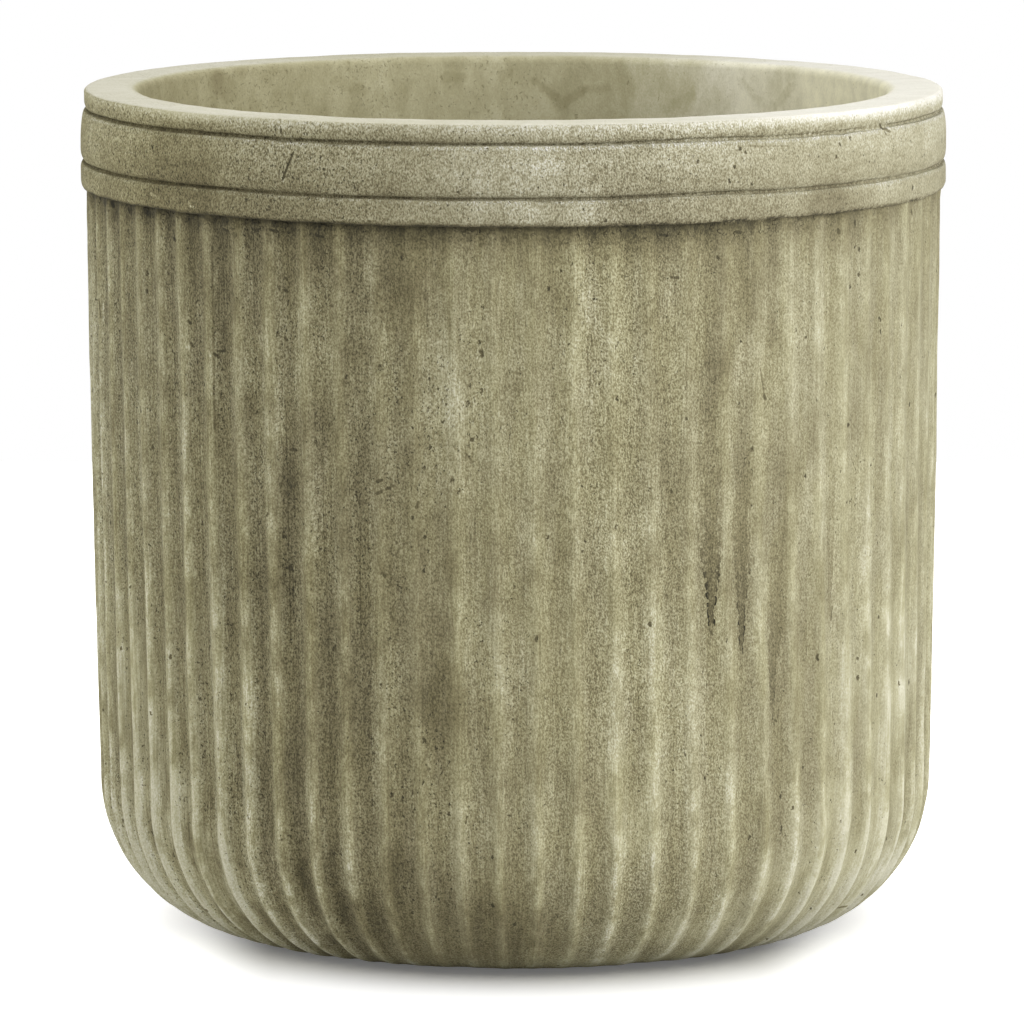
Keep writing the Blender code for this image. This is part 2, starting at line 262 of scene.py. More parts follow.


# %% [markdown]
# Weather has made broad parts of the wall and the collar paler or darker, and the same patches paint light
# and shade: the lower sides are painted paler, as lit by the floor, and other patches make parts of the wall
# paler or darker as the light falls on them. Large soft patches like these are worked out at the points and
# stored, which is cheaper than doing it in the material for every pixel.

# %% Paler and darker patches
# Angle, height, half angle, half height, and what they multiply the paleness by
PATCHES = (
    (-60, 0.030, 27, 0.060, 1.80),
    (58, 0.028, 29, 0.062, 1.72),
    (-23, 0.150, 19, 0.175, 0.62),
    (-14, 0.300, 6, 0.100, 0.82),
    (-50, 0.290, 14, 0.110, 0.82),
    (-8, 0.022, 30, 0.050, 0.56),
    (17.5, 0.270, 4.5, 0.130, 0.80),
    (26, 0.290, 9, 0.130, 0.90),
    (33, 0.190, 13, 0.120, 0.82),
    (42, 0.070, 14, 0.050, 0.90),
    (15, 0.120, 10, 0.080, 1.12),
    (-30, 0.330, 16, 0.040, 0.86),
    (2, 0.340, 9, 0.050, 1.12),
    (-52, 0.360, 11, 0.030, 0.76),
    (-74, 0.360, 10, 0.040, 1.15),
    (45, 0.349, 14, 0.010, 0.66),
    (72, 0.200, 12, 0.200, 1.10),
    (-40, 0.298, 6, 0.032, 0.74),
    (-31, 0.220, 5.5, 0.052, 0.74),
    (-40, 0.325, 24, 0.018, 0.86),
    (-13, 0.080, 7, 0.070, 0.84),
    (26.5, 0.252, 4.5, 0.045, 0.84),
    (36, 0.322, 7, 0.018, 0.84),
    (36, 0.222, 6, 0.045, 0.88),
    (56, 0.118, 17, 0.052, 1.20),
    (-66, 0.130, 10, 0.040, 1.16),
    (-34, 0.022, 9, 0.012, 1.28),
    (26, 0.022, 9, 0.012, 1.25),
    (-4, 0.362, 19, 0.020, 1.36),
    (0, 0.350, 15, 0.009, 1.16),
    (-38, 0.225, 8, 0.070, 0.80),
    (-9, 0.122, 7, 0.038, 0.84),
    (-64, 0.285, 10, 0.045, 0.86),
    (58, 0.352, 11, 0.009, 1.34),
    (0, 0.003, 48, 0.012, 1.60),
    (-62, 0.092, 15, 0.036, 1.24),
    (-14, 0.3495, 9, 0.007, 1.30),
    (11, 0.349, 5, 0.008, 1.14),
    (-32, 0.331, 4, 0.012, 1.20),
    (-11, 0.300, 4, 0.040, 1.10),
    (-22, 0.310, 4, 0.030, 0.90),
    (-23, 0.262, 4, 0.035, 0.93),
    (-30.5, 0.221, 4.5, 0.030, 0.70),
    (17.5, 0.128, 5, 0.028, 0.86),
    (-4, 0.104, 5, 0.028, 0.88),
    (1.5, 0.128, 4, 0.020, 0.90),
    (-13, 0.150, 5, 0.030, 0.88),
    (6, 0.158, 6, 0.030, 1.10),
    (27, 0.262, 5, 0.040, 0.88),
    (36, 0.300, 6, 0.030, 0.89),
    (49, 0.275, 6, 0.035, 1.12),
    (28, 0.334, 5, 0.012, 1.14),
    (48, 0.331, 8, 0.013, 0.80),
    (10, 0.060, 6, 0.025, 1.11),
    (36, 0.045, 6, 0.020, 1.12),
    (-23, 0.055, 4.5, 0.020, 0.86),
    (-66, 0.055, 9, 0.020, 1.10),
    (22, 0.255, 6, 0.040, 0.87),
    (-15, 0.322, 11, 0.020, 0.88),
    (-60, 0.115, 10, 0.032, 1.15),
    (66, 0.120, 9, 0.045, 1.18),
    (14, 0.080, 7, 0.036, 1.14),
    (-25, 0.020, 5, 0.010, 1.30),
    (-42, 0.349, 17, 0.010, 0.84),
    (21, 0.362, 7, 0.012, 0.84),
)


def weather_and_light(angle, height):
    """What all patches together add to a paleness of 1.

    Each patch multiplies by 1 + (factor - 1) ease(1.1 - distance from its middle), with the distance counted
    in its half sizes and torn by noise.
    """
    degrees = half_turns(angle)
    share = angle / (2 * np.pi)
    torn = 0.30 * wander(share * 66, height / 0.026, 66, 71)
    torn = torn + 0.16 * wander(share * 150, height / 0.012, 150, 72)
    paleness = np.ones_like(torn)
    for middle, at_height, half_angle, half_height, factor in PATCHES:
        reach = np.hypot((degrees - middle) / half_angle, (height - at_height) / half_height) + torn
        paleness = paleness * (1 + (factor - 1) * ease(1.1 - reach))
    return paleness - 1


# %% [markdown]
# Under the bead the cement was squeezed out of the mould's joint and stayed as small drops and crumbs,
# which hang in the tops of the flutes. They only rise from the wall as far as the bead stands out.

# %% Drops under the bead
DROPS = (
    (-32.3, 0.3416, 0.0036),
    (-25.5, 0.3404, 0.0038),
    (-40.2, 0.3400, 0.0034),
    (-35.3, 0.3408, 0.0030),
    (19.7, 0.3415, 0.0036),
    (30.3, 0.3414, 0.0038),
    (21.3, 0.3214, 0.0018),
    (118.0, 0.3398, 0.0045),
    (205.0, 0.3400, 0.0042),
    (262.0, 0.3396, 0.0038),
)
DROP_RISE = 0.0021


def drops(angle, height):
    """Rise of the drops and crumbs in metres, kept to the bead's overhang.

    Each drop is a bell, exp(-(distance / width)^2). Crumbs are the high parts of fine noise, and fade away
    below the bead as exp(-depth / 3 mm).
    """
    below = COLLAR_UNDERSIDE - height
    share = angle / (2 * np.pi)
    crumbs = np.clip(wander(share * 260, height / 0.0045, 260, 41), 0, 1)
    rise = 0.0011 * crumbs * np.exp(-np.clip(below, 0, 1) / 0.003)
    for degrees, middle, width in DROPS:
        turn = (angle - np.radians(degrees) + np.pi) % (2 * np.pi) - np.pi
        distance = np.hypot(turn * wall_top_radius, height - middle)
        rise = rise + DROP_RISE * np.exp(-((distance / width) ** 2))
    return np.minimum(rise, DROP_RISE)


def wall_zone():
    """The fluted wall as a grid, moved inwards along the outline's normal, with its marks.

    The real casting leans a hair: its foot lies LEAN to the right of its collar.
    """
    outline = wall_outline()
    normal = outward(outline)
    angle, cut, flute = flute_grid(outline)
    run_out = ease((outline[:, 0:1] - foot_ring_radius) / FLUTE_RUN_OUT)
    height = outline[:, 1:2]
    depth = flute_depth(outline, angle) * cut * run_out
    inwards = depth + unevenness(angle, height) - drops(angle, height)
    radius = outline[:, 0:1] - normal[:, 0:1] * inwards
    level = height - normal[:, 1:2] * inwards
    points = turned(radius, level, angle)
    points[..., 0] += LEAN * (1 - level / COLLAR_UNDERSIDE)
    # Painted shade right under the bead, for the material: 1 at the bead, fading downwards
    under_bead_shade = np.exp(-(COLLAR_UNDERSIDE - height) / 0.0045)
    low = ease((0.11 - height) / 0.07)
    showing = np.minimum(flute_strength(angle, height), 1.3) ** 1.4 * (1 + 0.30 * low)
    fluting = (1 - cut - MEAN_RIDGE) * showing
    off_ridge = np.broadcast_to(np.abs(flute - np.round(flute)), height.shape[:1] + flute.shape)
    marks = {"fluting": fluting, "off_ridge": off_ridge, "dirt_and_shade": under_bead_shade}
    return {"points": points, "weather_and_light": weather_and_light(angle, height), **marks}


wall = wall_zone()
print("Wall grid:", wall["points"].shape)

# %% [markdown]
# ## The collar
#
# Three mouldings ring the top: a lip, a broad band and a bead, with a fine groove above and below the band.
# Each has a crisp upper edge, where the light catches, and a lower edge that rolls softly into the groove
# beneath. The whole collar could be a Screw modifier on a profile curve, but a grid lets the grooves vary
# round the pot: filled with crumbs in one place, nearly worn away in another.

# %% Sizes of the collar
LIP_HEIGHT = 0.0093
BAND_HEIGHT = 0.0238
LIP_INSET = 0.0017
GROOVE_WIDTH = 0.0012
GROOVE_DEPTH = 0.0012
RIM_WIDTH = 0.0260
RIM_ROUND = 0.0040
LIP_ROUND = (0.0020, 0.0020)
LIP_ROLL = (0.0012, 0.0028)
BAND_SHOULDER = (0.0019, 0.0135)
BAND_ROLL = (0.0018, 0.0050)
BEAD_SHOULDER = (0.0011, 0.0030)
BEAD_ROLL = (0.0019, 0.0036)
COLLAR_COLUMNS = 440

# Painted light: how far the upper part of the lip's face takes the rim's pale level, round the pot
LIP_LIGHT_ANGLES = (-180, -75, -62, -50, -42, -26, -9, 5, 20, 41, 53, 66, 180)
LIP_LIGHT_SHARES = (0.40, 0.30, 0.38, 0.76, 0.68, 0.50, 0.42, 0.44, 0.46, 0.72, 0.90, 0.70, 0.40)

upper_groove = RIM - LIP_HEIGHT
lower_groove = upper_groove - BAND_HEIGHT
lip_radius = COLLAR_RADIUS - LIP_INSET
hollow_radius = lip_radius - RIM_WIDTH


def lower_edge(radius, low, roll, count):
    """A moulding's rolled lower edge, upwards: a quarter ellipse as deep and high as `roll`."""
    return arc((radius - roll[0], low + roll[1]), roll, -90, 0, count)


def upper_edge(radius, high, shoulder, count):
    """A moulding's upper edge, upwards: a quarter ellipse as deep and high as `shoulder`."""
    return arc((radius - shoulder[0], high - shoulder[1]), shoulder, 0, 90, count)


def collar_outline():
    """The collar's outline, upwards and over the rim, and how much of a groove each point is."""
    half = GROOVE_WIDTH / 2
    lower_floor = COLLAR_RADIUS - BAND_ROLL[0] - GROOVE_DEPTH
    upper_floor = lip_radius - LIP_ROLL[0] - GROOVE_DEPTH
    rim_centre = (hollow_radius + RIM_ROUND, RIM - RIM_ROUND)
    stretches = [
        lower_edge(COLLAR_RADIUS, COLLAR_UNDERSIDE, BEAD_ROLL, 7),
        upper_edge(COLLAR_RADIUS, lower_groove - half, BEAD_SHOULDER, 6),
        [(lower_floor + 0.0004, lower_groove - 0.0003), (lower_floor, lower_groove)],
        lower_edge(COLLAR_RADIUS, lower_groove + half, BAND_ROLL, 7),
        upper_edge(COLLAR_RADIUS, upper_groove - half, BAND_SHOULDER, 9),
        [(upper_floor + 0.0004, upper_groove - 0.0003), (upper_floor, upper_groove)],
        lower_edge(lip_radius, upper_groove + half, LIP_ROLL, 6),
        upper_edge(lip_radius, RIM, LIP_ROUND, 7),
        run((lip_radius - LIP_ROUND[0], RIM), (hollow_radius + RIM_ROUND, RIM), 7),
        arc(rim_centre, (RIM_ROUND, RIM_ROUND), 90, 180, 6),
    ]
    return np.concatenate([np.array(stretch) for stretch in stretches])


# %% Grooves that vary round the pot
def groove_fill(degrees):
    """How far the upper and lower grooves are filled, from 0 to 1, at each angle in degrees."""
    share = degrees / 360
    grit = np.clip(wander(share * 330, 0.5, 330, 51), 0, 1)
    slow = wander(share * 24, 0.5, 24, 52)
    crumbled = between(degrees, 16, 26, 2)
    shallow = between(degrees, 33, 51, 5)
    broken = between(degrees, 52, 58, 2)
    worn = between(degrees, -15, 100, 40)
    upper = 0.10 + 0.12 * slow + (0.12 + 0.75 * crumbled) * grit
    upper = upper + 0.22 * worn + 0.25 * shallow + 0.55 * broken
    fading = between(degrees, 20, 100, 60)
    left = between(degrees, -80, 8, 30)
    lower = 0.10 + 0.15 * wander(share * 24, 0.5, 24, 53) + 0.15 * grit + 0.30 * fading + 0.14 * left
    return np.clip(upper, 0, 0.9), np.clip(lower, 0, 0.9)


def near(height, level, reach):
    """1 at `level`, falling off as the bell exp(-((height - level) / reach)^2)."""
    return np.exp(-(((height - level) / reach) ** 2))


def above(height, level, reach):
    """exp(-(height - level) / reach) over `level` and 0 under it."""
    return np.where(height >= level, np.exp(-np.maximum(height - level, 0) / reach), 0)


def collar_zone():
    """The collar as a grid from under the bead to the hollow, with its marks for the material."""
    outline = collar_outline()
    normal = outward(outline)
    angle = np.linspace(0, 2 * np.pi, COLLAR_COLUMNS, endpoint=False)
    degrees = half_turns(angle)
    height = outline[:, 1:2]
    outside = ease((outline[:, 0:1] - hollow_radius - 0.012) / 0.004)
    upper_fill, lower_fill = groove_fill(degrees)
    upper, lower = near(height, upper_groove, 0.0005), near(height, lower_groove, 0.0005)
    infill = 0.0019 * upper * upper_fill + 0.0023 * lower * lower_fill
    # Just under each groove lies a crisp upper edge: chips break it, and the material paints a highlight on
    # it
    edges = near(height, upper_groove - 0.0012, 0.0010) + near(height, lower_groove - 0.0012, 0.0010)
    share = angle / (2 * np.pi)
    chips = np.clip(wander(share * 170, height / 0.004, 170, 61) - 0.55, 0, 1) * edges
    inwards = unevenness(angle, height) + 0.0016 * chips * outside
    radius = outline[:, 0:1] - normal[:, 0:1] * inwards + infill * outside
    sway = 0.00025 * wander(share * 40, 0.5, 40, 62) + 0.00012 * wander(share * 140, 0.5, 140, 63)
    sway = sway + 0.0007 * between(degrees, 14, 32, 12)
    upright = ease((RIM - 0.004 - height) / 0.006) * ease((height - COLLAR_UNDERSIDE) / 0.003)
    hem = 0.0005 * wander(share * 110, 0.5, 110, 64) * ease((COLLAR_UNDERSIDE + 0.004 - height) / 0.004)
    level = height - normal[:, 1:2] * inwards + (sway * upright + hem) * outside
    # Painted shade: in the open grooves, which hold some dirt too, on the rolled edges above them and under
    # the bead
    underside = ease((COLLAR_UNDERSIDE + 0.0022 - height) / 0.0022)
    rolled = above(height, upper_groove, 0.0020) + 0.42 * above(height, lower_groove, 0.0015)
    dirt_and_shade = np.maximum(0.88 * (upper * (1 - upper_fill) + lower * (1 - lower_fill)), 0.60 * rolled)
    dirt_and_shade = outside * np.clip(dirt_and_shade + underside, 0, 1)
    # Painted light: the upper part of the lip's face is paler, by a share that changes round the pot
    lip_light = np.interp(degrees, LIP_LIGHT_ANGLES, LIP_LIGHT_SHARES) * ease((height - RIM + 0.0062) / 0.0055)
    on_top = np.maximum(ease((height - RIM + 0.0011) / 0.0010), lip_light)
    on_top = np.where(outline[:, 0:1] > hollow_radius + 0.012, on_top, 1)
    inside = ease((hollow_radius + 0.0050 - outline[:, 0:1]) / 0.0050)
    marks = {"dirt_and_shade": dirt_and_shade, "edge": edges * outside, "rim": on_top, "inside": inside}
    return {"points": turned(radius, level, angle), "weather_and_light": weather_and_light(angle, height), **marks}


collar = collar_zone()
print("Collar grid:", collar["points"].shape)

# %% [markdown]
# ## The hollow, the drain hole and the underside
#
# The hollow is smooth, because the core was smooth. It draws in a little downwards and rounds into the
# floor. In the middle is the drain hole with a seat for its plug. Underneath, a foot ring stands round a
# shallow recess, and four round pockets in the ring hold the rubber pads. A pocket could be cut with a
# Boolean, but here the grid itself bends round it: square rings of points about the pocket's middle are
# moved onto circles, and the innermost ones are lifted.

# %% Sizes of the hollow and the underside
FLOOR_HEIGHT = FOOT + 0.0300
FLOOR_FILLET = 0.0400
HOLLOW_DRAFT = 0.0045
FOOT_RING_WIDTH = 0.0290
RECESS_HEIGHT = FOOT + 0.0040
BORE_RADIUS = 0.0125
BORE_DRAFT = 0.0015
SEAT_RADIUS = 0.0235
SEAT_HEIGHT = FLOOR_HEIGHT - 0.0038
HOLLOW_COLUMNS = 160
PAD_COUNT = 4
POCKET_RADIUS = 0.0113
POCKET_DEPTH = 0.0015

recess_radius = foot_ring_radius - FOOT_RING_WIDTH
hollow_foot_radius = hollow_radius - HOLLOW_DRAFT
pad_circle_radius = (foot_ring_radius + recess_radius) / 2


def hollow_outline():
    """From under the rim down the hollow, in to the seat, down the drain hole and out to the foot ring."""
    fillet_centre = (hollow_foot_radius - FLOOR_FILLET, FLOOR_HEIGHT + FLOOR_FILLET)
    fillet_top = (hollow_foot_radius, FLOOR_HEIGHT + FLOOR_FILLET)
    floor_edge = (hollow_foot_radius - FLOOR_FILLET, FLOOR_HEIGHT)
    seat_edge = (SEAT_RADIUS + 0.0008, FLOOR_HEIGHT)
    bore_top = (BORE_RADIUS + BORE_DRAFT, SEAT_HEIGHT)
    bore_foot = (BORE_RADIUS, RECESS_HEIGHT)
    recess_edge = (recess_radius, RECESS_HEIGHT)
    stretches = [
        run((hollow_radius, RIM - RIM_ROUND), fillet_top, 17),
        arc(fillet_centre, (FLOOR_FILLET, FLOOR_FILLET), 0, -90, 10),
        run(floor_edge, seat_edge, 4),
        [seat_edge, (SEAT_RADIUS, FLOOR_HEIGHT - 0.0008), (SEAT_RADIUS, SEAT_HEIGHT), bore_top],
        run(bore_top, bore_foot, 2),
        [bore_foot],
        run(bore_foot, recess_edge, 4),
        [recess_edge],
    ]
    return np.concatenate([np.array(stretch) for stretch in stretches])


def hollow_zone():
    """The hollow and the recess as one grid, with the mark that tells the material where it is."""
    outline = hollow_outline()
    normal = outward(outline)
    angle = np.linspace(0, 2 * np.pi, HOLLOW_COLUMNS, endpoint=False)
    height = outline[:, 1:2]
    worn = unevenness(angle, height) * ease((outline[:, 0:1] - SEAT_RADIUS - 0.004) / 0.02)
    worn = worn * np.where(height > RECESS_HEIGHT + 0.001, 1, 0)
    radius = outline[:, 0:1] - normal[:, 0:1] * worn
    level = height - normal[:, 1:2] * worn
    return {"points": turned(radius, level, angle), "inside": np.ones_like(height)}


# %% Foot ring with its pockets
def foot_ring_zone():
    """The foot ring, outwards, as 13 rows. About each pad, square ring k of points becomes a circle.

    Rings 0 to 4 are the pocket's flat top, evenly spaced out to its radius, and ring 5 is its mouth.
    """
    row, column = np.meshgrid(np.arange(13), np.arange(HOLLOW_COLUMNS), indexing="ij")
    angle = column * 2 * np.pi / HOLLOW_COLUMNS
    points = turned(recess_radius + FOOT_RING_WIDTH * row / 12, FOOT, angle)
    quarter = HOLLOW_COLUMNS // PAD_COUNT
    sideways, outwards = column % quarter - quarter // 2, row - 6
    ring = np.maximum(abs(sideways), abs(outwards))
    pad_angle = (column // quarter + 0.5) * 2 * np.pi / PAD_COUNT
    reach = POCKET_RADIUS * np.minimum(ring / 4, 1)
    turn = np.arctan2(outwards, sideways)
    across, away = reach * np.cos(turn), pad_circle_radius + reach * np.sin(turn)
    x = away * np.sin(pad_angle) + across * np.cos(pad_angle)
    y = -away * np.cos(pad_angle) + across * np.sin(pad_angle)
    lifted = np.where(ring <= 4, FOOT + POCKET_DEPTH, FOOT)
    pocket = np.stack([x, y, lifted], axis=-1)
    return {"points": np.where((ring <= 5)[..., None], pocket, points)}


hollow, foot_ring = hollow_zone(), foot_ring_zone()
print("Hollow and foot ring grids:", hollow["points"].shape, foot_ring["points"].shape)

# %% [markdown]
# ## One closed casting
#
# The four grids follow each other round the casting's section: up the wall, over the collar, down the
# hollow, through the drain hole and out under the foot. Grids with unlike numbers of columns are sewn
# together with a strip of triangles, so the casting is one watertight surface. Joining them with bmesh
# would need Python loops over the vertices; the strip can be worked out as whole arrays instead.

# %% Sewing grids together
MARKS = ("fluting", "off_ridge", "weather_and_light", "dirt_and_shade", "edge", "rim", "inside")


def angles_of(ring):
    """The angle of every point of a ring, rising without a jump."""
    return np.unwrap(np.arctan2(ring[:, 0], -ring[:, 1]))


def grid_quads(rows, columns, first):
    """Quads of a grid that closes round: each joins columns i and i + 1 of two neighbouring rows."""
    number = first + np.arange(rows * columns).reshape(rows, columns)
    onward = np.roll(number, -1, axis=1)
    return np.stack([number[:-1], onward[:-1], onward[1:], number[1:]], axis=-1).reshape(-1, 4)


def tips(middles, other_middles, side):
    """For each edge's middle angle, which point of the other ring lies across from it."""
    turns = np.concatenate([other_middles - 2 * np.pi, other_middles, other_middles + 2 * np.pi])
    count = len(other_middles)
    return (np.searchsorted(turns, middles, side=side) - count) % count


def strip(lower, upper, lower_first, upper_first):
    """Triangles between two rings of points: every edge of each ring gets one tip on the other."""
    low_angle, high_angle = angles_of(lower), angles_of(upper)
    low_middle = (low_angle + np.append(low_angle[1:], low_angle[0] + 2 * np.pi)) / 2
    high_middle = (high_angle + np.append(high_angle[1:], high_angle[0] + 2 * np.pi)) / 2
    low, high = np.arange(len(lower)), np.arange(len(upper))
    low_next, high_next = np.roll(low, -1), np.roll(high, -1)
    high_tip, low_tip = tips(low_middle, high_middle, "left"), tips(high_middle, low_middle, "right")
    from_low = np.stack([lower_first + low, lower_first + low_next, upper_first + high_tip], axis=1)
    from_high = np.stack([lower_first + low_tip, upper_first + high_next, upper_first + high], axis=1)
    return np.concatenate([from_low, from_high])


def fill_mesh(name, points, quads, triangles):
    """A mesh from whole arrays of points, quads and triangles, shaded smooth up to 40 degrees."""
    mesh = bpy.data.meshes.new(name)
    mesh.vertices.add(len(points))
    mesh.vertices.foreach_set("co", points.astype(np.float32).ravel())
    corners = np.concatenate([quads.ravel(), triangles.ravel()])
    starts = np.concatenate([np.arange(len(quads)) * 4, quads.size + np.arange(len(triangles)) * 3])
    mesh.loops.add(len(corners))
    mesh.loops.foreach_set("vertex_index", corners.astype(np.int32))
    mesh.polygons.add(len(starts))
    mesh.polygons.foreach_set("loop_start", starts.astype(np.int32))
    mesh.update(calc_edges=True)
    mesh.validate()
    mesh.shade_smooth()
    mesh.set_sharp_from_angle(angle=math.radians(40))
    return mesh


# %% The casting as one mesh
def casting_mesh(zones):
    """Lays the zones' points end to end, fills each grid and sews every zone to the next."""
    shapes = [zone["points"].shape for zone in zones]
    firsts = np.cumsum([0] + [rows * columns for rows, columns, _ in shapes])
    points = np.concatenate([zone["points"].reshape(-1, 3) for zone in zones])
    quads = [grid_quads(rows, columns, first) for (rows, columns, _), first in zip(shapes, firsts)]
    triangles = []
    for i, zone in enumerate(zones):
        j = (i + 1) % len(zones)
        last_row = firsts[i] + (shapes[i][0] - 1) * shapes[i][1]
        triangles.append(strip(zone["points"][-1], zones[j]["points"][0], last_row, firsts[j]))
    mesh = fill_mesh("planter_casting", points, np.concatenate(quads), np.concatenate(triangles))
    for mark in MARKS:
        values = [np.broadcast_to(zone.get(mark, 0.0), zone["points"].shape[:2]).ravel() for zone in zones]
        store = mesh.attributes.new(mark, "FLOAT", "POINT")
        store.data.foreach_set("value", np.concatenate(values).astype(np.float32))
    return mesh


def place_piece(name, mesh, body, slot, *nodes):
    """Adds a finished mesh at the origin as a piece that rides on a body and stands for CAD nodes."""
    piece = bpy.data.objects.new(name, mesh)
    bpy.context.scene.collection.objects.link(piece)
    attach(piece, body)
    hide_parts(*nodes)
    return piece


def triangle_count(mesh):
    """Triangles in a mesh whose faces have three or four corners."""
    return len(mesh.loops) - 2 * len(mesh.polygons)


casting_zones = [wall, collar, hollow, foot_ring]
casting = place_piece("planter_casting", casting_mesh(casting_zones), "pot", "cement", "pot_body")
print("Casting:", len(casting.data.vertices), "points,", triangle_count(casting.data), "triangles")

# %% [markdown]
# ## The drain plug and the foot pads
#
# Neither shows in the photograph. The plug is a moulded rubber stopper: a tapered stem, a flange that
# covers the seat and a knob to pull it by, with ribs that give wet fingers a hold. The pads are thin
# rubber discs with ring-shaped treads. Both are turned shapes, closed at their poles by a fan of
# triangles, and the ribs are a wave in the radius.

# %% Turned pieces that close on the axis
def turned_solid(name, outline, columns, centre, ripple=None):
    """A closed turned mesh. Its outline starts and ends on the axis and runs from top to bottom.

    `ripple` gives, for each outline point between the poles, how far a wave cuts into the radius.
    """
    ring = np.array(outline[1:-1])[::-1]
    angle = np.linspace(0, 2 * np.pi, columns, endpoint=False)
    cut = 0 if ripple is None else np.array(ripple)[::-1, None] * (0.5 - 0.5 * np.cos(angle * RIB_COUNT))
    points = turned(ring[:, 0:1] - cut, ring[:, 1:2], angle).reshape(-1, 3)
    poles = np.array([(0, 0, outline[-1][1]), (0, 0, outline[0][1])])
    quads = grid_quads(len(ring), columns, 0)
    first, last = np.arange(columns), np.arange(columns) + (len(ring) - 1) * columns
    foot_pole, top_pole = np.full(columns, len(points)), np.full(columns, len(points) + 1)
    foot = np.stack([foot_pole, np.roll(first, -1), first], axis=1)
    top = np.stack([top_pole, last, np.roll(last, -1)], axis=1)
    everything = np.concatenate([points, poles]) + np.array(centre)
    return fill_mesh(name, everything, quads, np.concatenate([foot, top]))


RIB_COUNT = 18
PLUG_LOW, PLUG_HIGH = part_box("drain_plug")
FLANGE_RADIUS = PLUG_HIGH.x
FLANGE_THICKNESS = 0.0035
GRIP_NECK_RADIUS = 0.0065
GRIP_NECK_HEIGHT = 0.0060
GRIP_RADIUS = 0.0105
PLUG_CLEARANCE = 0.0003


def plug_mesh():
    """The stopper from the top of its knob down to the end of its stem."""
    flange_foot = SEAT_HEIGHT + PLUG_CLEARANCE
    flange_top = flange_foot + FLANGE_THICKNESS
    neck_top = flange_top + GRIP_NECK_HEIGHT
    knob_edge = GRIP_RADIUS - 0.0025
    stem_top = BORE_RADIUS + BORE_DRAFT - PLUG_CLEARANCE
    stem_foot = BORE_RADIUS - PLUG_CLEARANCE
    knob_top = arc((knob_edge, PLUG_HIGH.z - 0.0025), (0.0025, 0.0025), 90, 0, 6)
    knob_foot = arc((knob_edge, neck_top + 0.0025), (0.0025, 0.0025), 0, -90, 6)
    neck = [(GRIP_NECK_RADIUS, neck_top - 0.0003), (GRIP_NECK_RADIUS, flange_top + 0.0015)]
    flange = arc((FLANGE_RADIUS - 0.0012, flange_top - 0.0012), (0.0012, 0.0012), 90, 0, 5)
    stem = [(stem_top, flange_foot), (stem_top - 0.0001, flange_foot - 0.0006)]
    stem_end = arc((stem_foot - 0.0010, PLUG_LOW.z + 0.0010), (0.0010, 0.0010), 0, -90, 5)
    dished = [(0.0, PLUG_HIGH.z - 0.0006), (0.0055, PLUG_HIGH.z - 0.0004), (0.0068, PLUG_HIGH.z)]
    stretches = [dished, knob_top, knob_foot, neck]
    stretches += [[(GRIP_NECK_RADIUS + 0.0012, flange_top)], flange, [(FLANGE_RADIUS, flange_foot)]]
    stretches += [stem, stem_end, [(0.0, PLUG_LOW.z)]]
    outline = np.concatenate([np.array(stretch) for stretch in stretches])
    knob = (outline[:, 1] > neck_top + 0.001) & (outline[:, 0] > 0.0088)
    return turned_solid("drain_plug_stopper", outline, 108, (0, 0, 0), np.where(knob, 0.0007, 0)[1:-1])


plug = place_piece("drain_plug_stopper", plug_mesh(), "plug", "plug_rubber", "drain_plug")
print("Plug:", triangle_count(plug.data), "triangles")

# %% Foot pads
TREAD_DEPTH = 0.0003


def pad_mesh(number):
    """A rubber disc with a rounded edge and two shallow rings in its underside."""
    low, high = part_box(f"foot_pad_{number}")
    centre = ((low.x + high.x) / 2, (low.y + high.y) / 2, 0)
    radius = (high.x - low.x) / 2
    outline = [(0.0, high.z), (radius - 0.0003, high.z), (radius, high.z - 0.0003), (radius, low.z + 0.0005)]
    outline += [(radius - 0.0002, low.z + 0.0001), (radius - 0.0006, low.z)]
    for groove in (0.70, 0.40):
        middle = groove * radius
        outline += [(middle + 0.0008, low.z), (middle + 0.0005, low.z + TREAD_DEPTH)]
        outline += [(middle - 0.0005, low.z + TREAD_DEPTH), (middle - 0.0008, low.z)]
    outline.append((0.0, low.z))
    return turned_solid(f"foot_pad_disc_{number}", outline, 72, centre)


pads = []
for number in range(1, PAD_COUNT + 1):
    name = f"foot_pad_{number}"
    pads.append(place_piece(f"foot_pad_disc_{number}", pad_mesh(number), "pot", "pad_rubber", name))
print("Pads:", len(pads), "with", triangle_count(pads[0].data), "triangles each")

# %% [markdown]
# ## Node helpers
#
# The finishes are built from nodes. A result that is still to be worked on is kept as a Wire: + - * and /
# on it add Math nodes, so a finish reads like the sum it is. Written out, every node would take about five
# lines to place, set and link.

# %% Wires
class Wire:
    """The output of a node, to be reckoned with together with other wires and with numbers."""

    def __init__(self, socket):
        self.socket = socket

    def __add__(self, other):
        return maths("ADD", self, other)

    def __sub__(self, other):
        return maths("SUBTRACT", self, other)

    def __rsub__(self, other):
        return maths("SUBTRACT", other, self)

    def __mul__(self, other):
        return maths("MULTIPLY", self, other)

    def __truediv__(self, other):
        return maths("DIVIDE", self, other)

    def __rtruediv__(self, other):
        return maths("DIVIDE", other, self)

    __radd__, __rmul__ = __add__, __mul__


def tree_of(values):
    """The tree in which the wires among some values lie."""
    return next(value.socket.id_data for value in values.values() if isinstance(value, Wire))


# %% Adding nodes
def node(tree, kind, values=None, **settings):
    """Adds a node, applies its settings, and gives each input a value or joins it to a wire."""
    made = tree.nodes.new("ShaderNode" + kind)
    for name, value in settings.items():
        setattr(made, name, value)
    for name, value in (values or {}).items():
        if isinstance(value, Wire):
            tree.links.new(value.socket, made.inputs[name])
        else:
            made.inputs[name].default_value = value
    return made


def wires(made):
    """All outputs of a node."""
    return [Wire(socket) for socket in made.outputs]


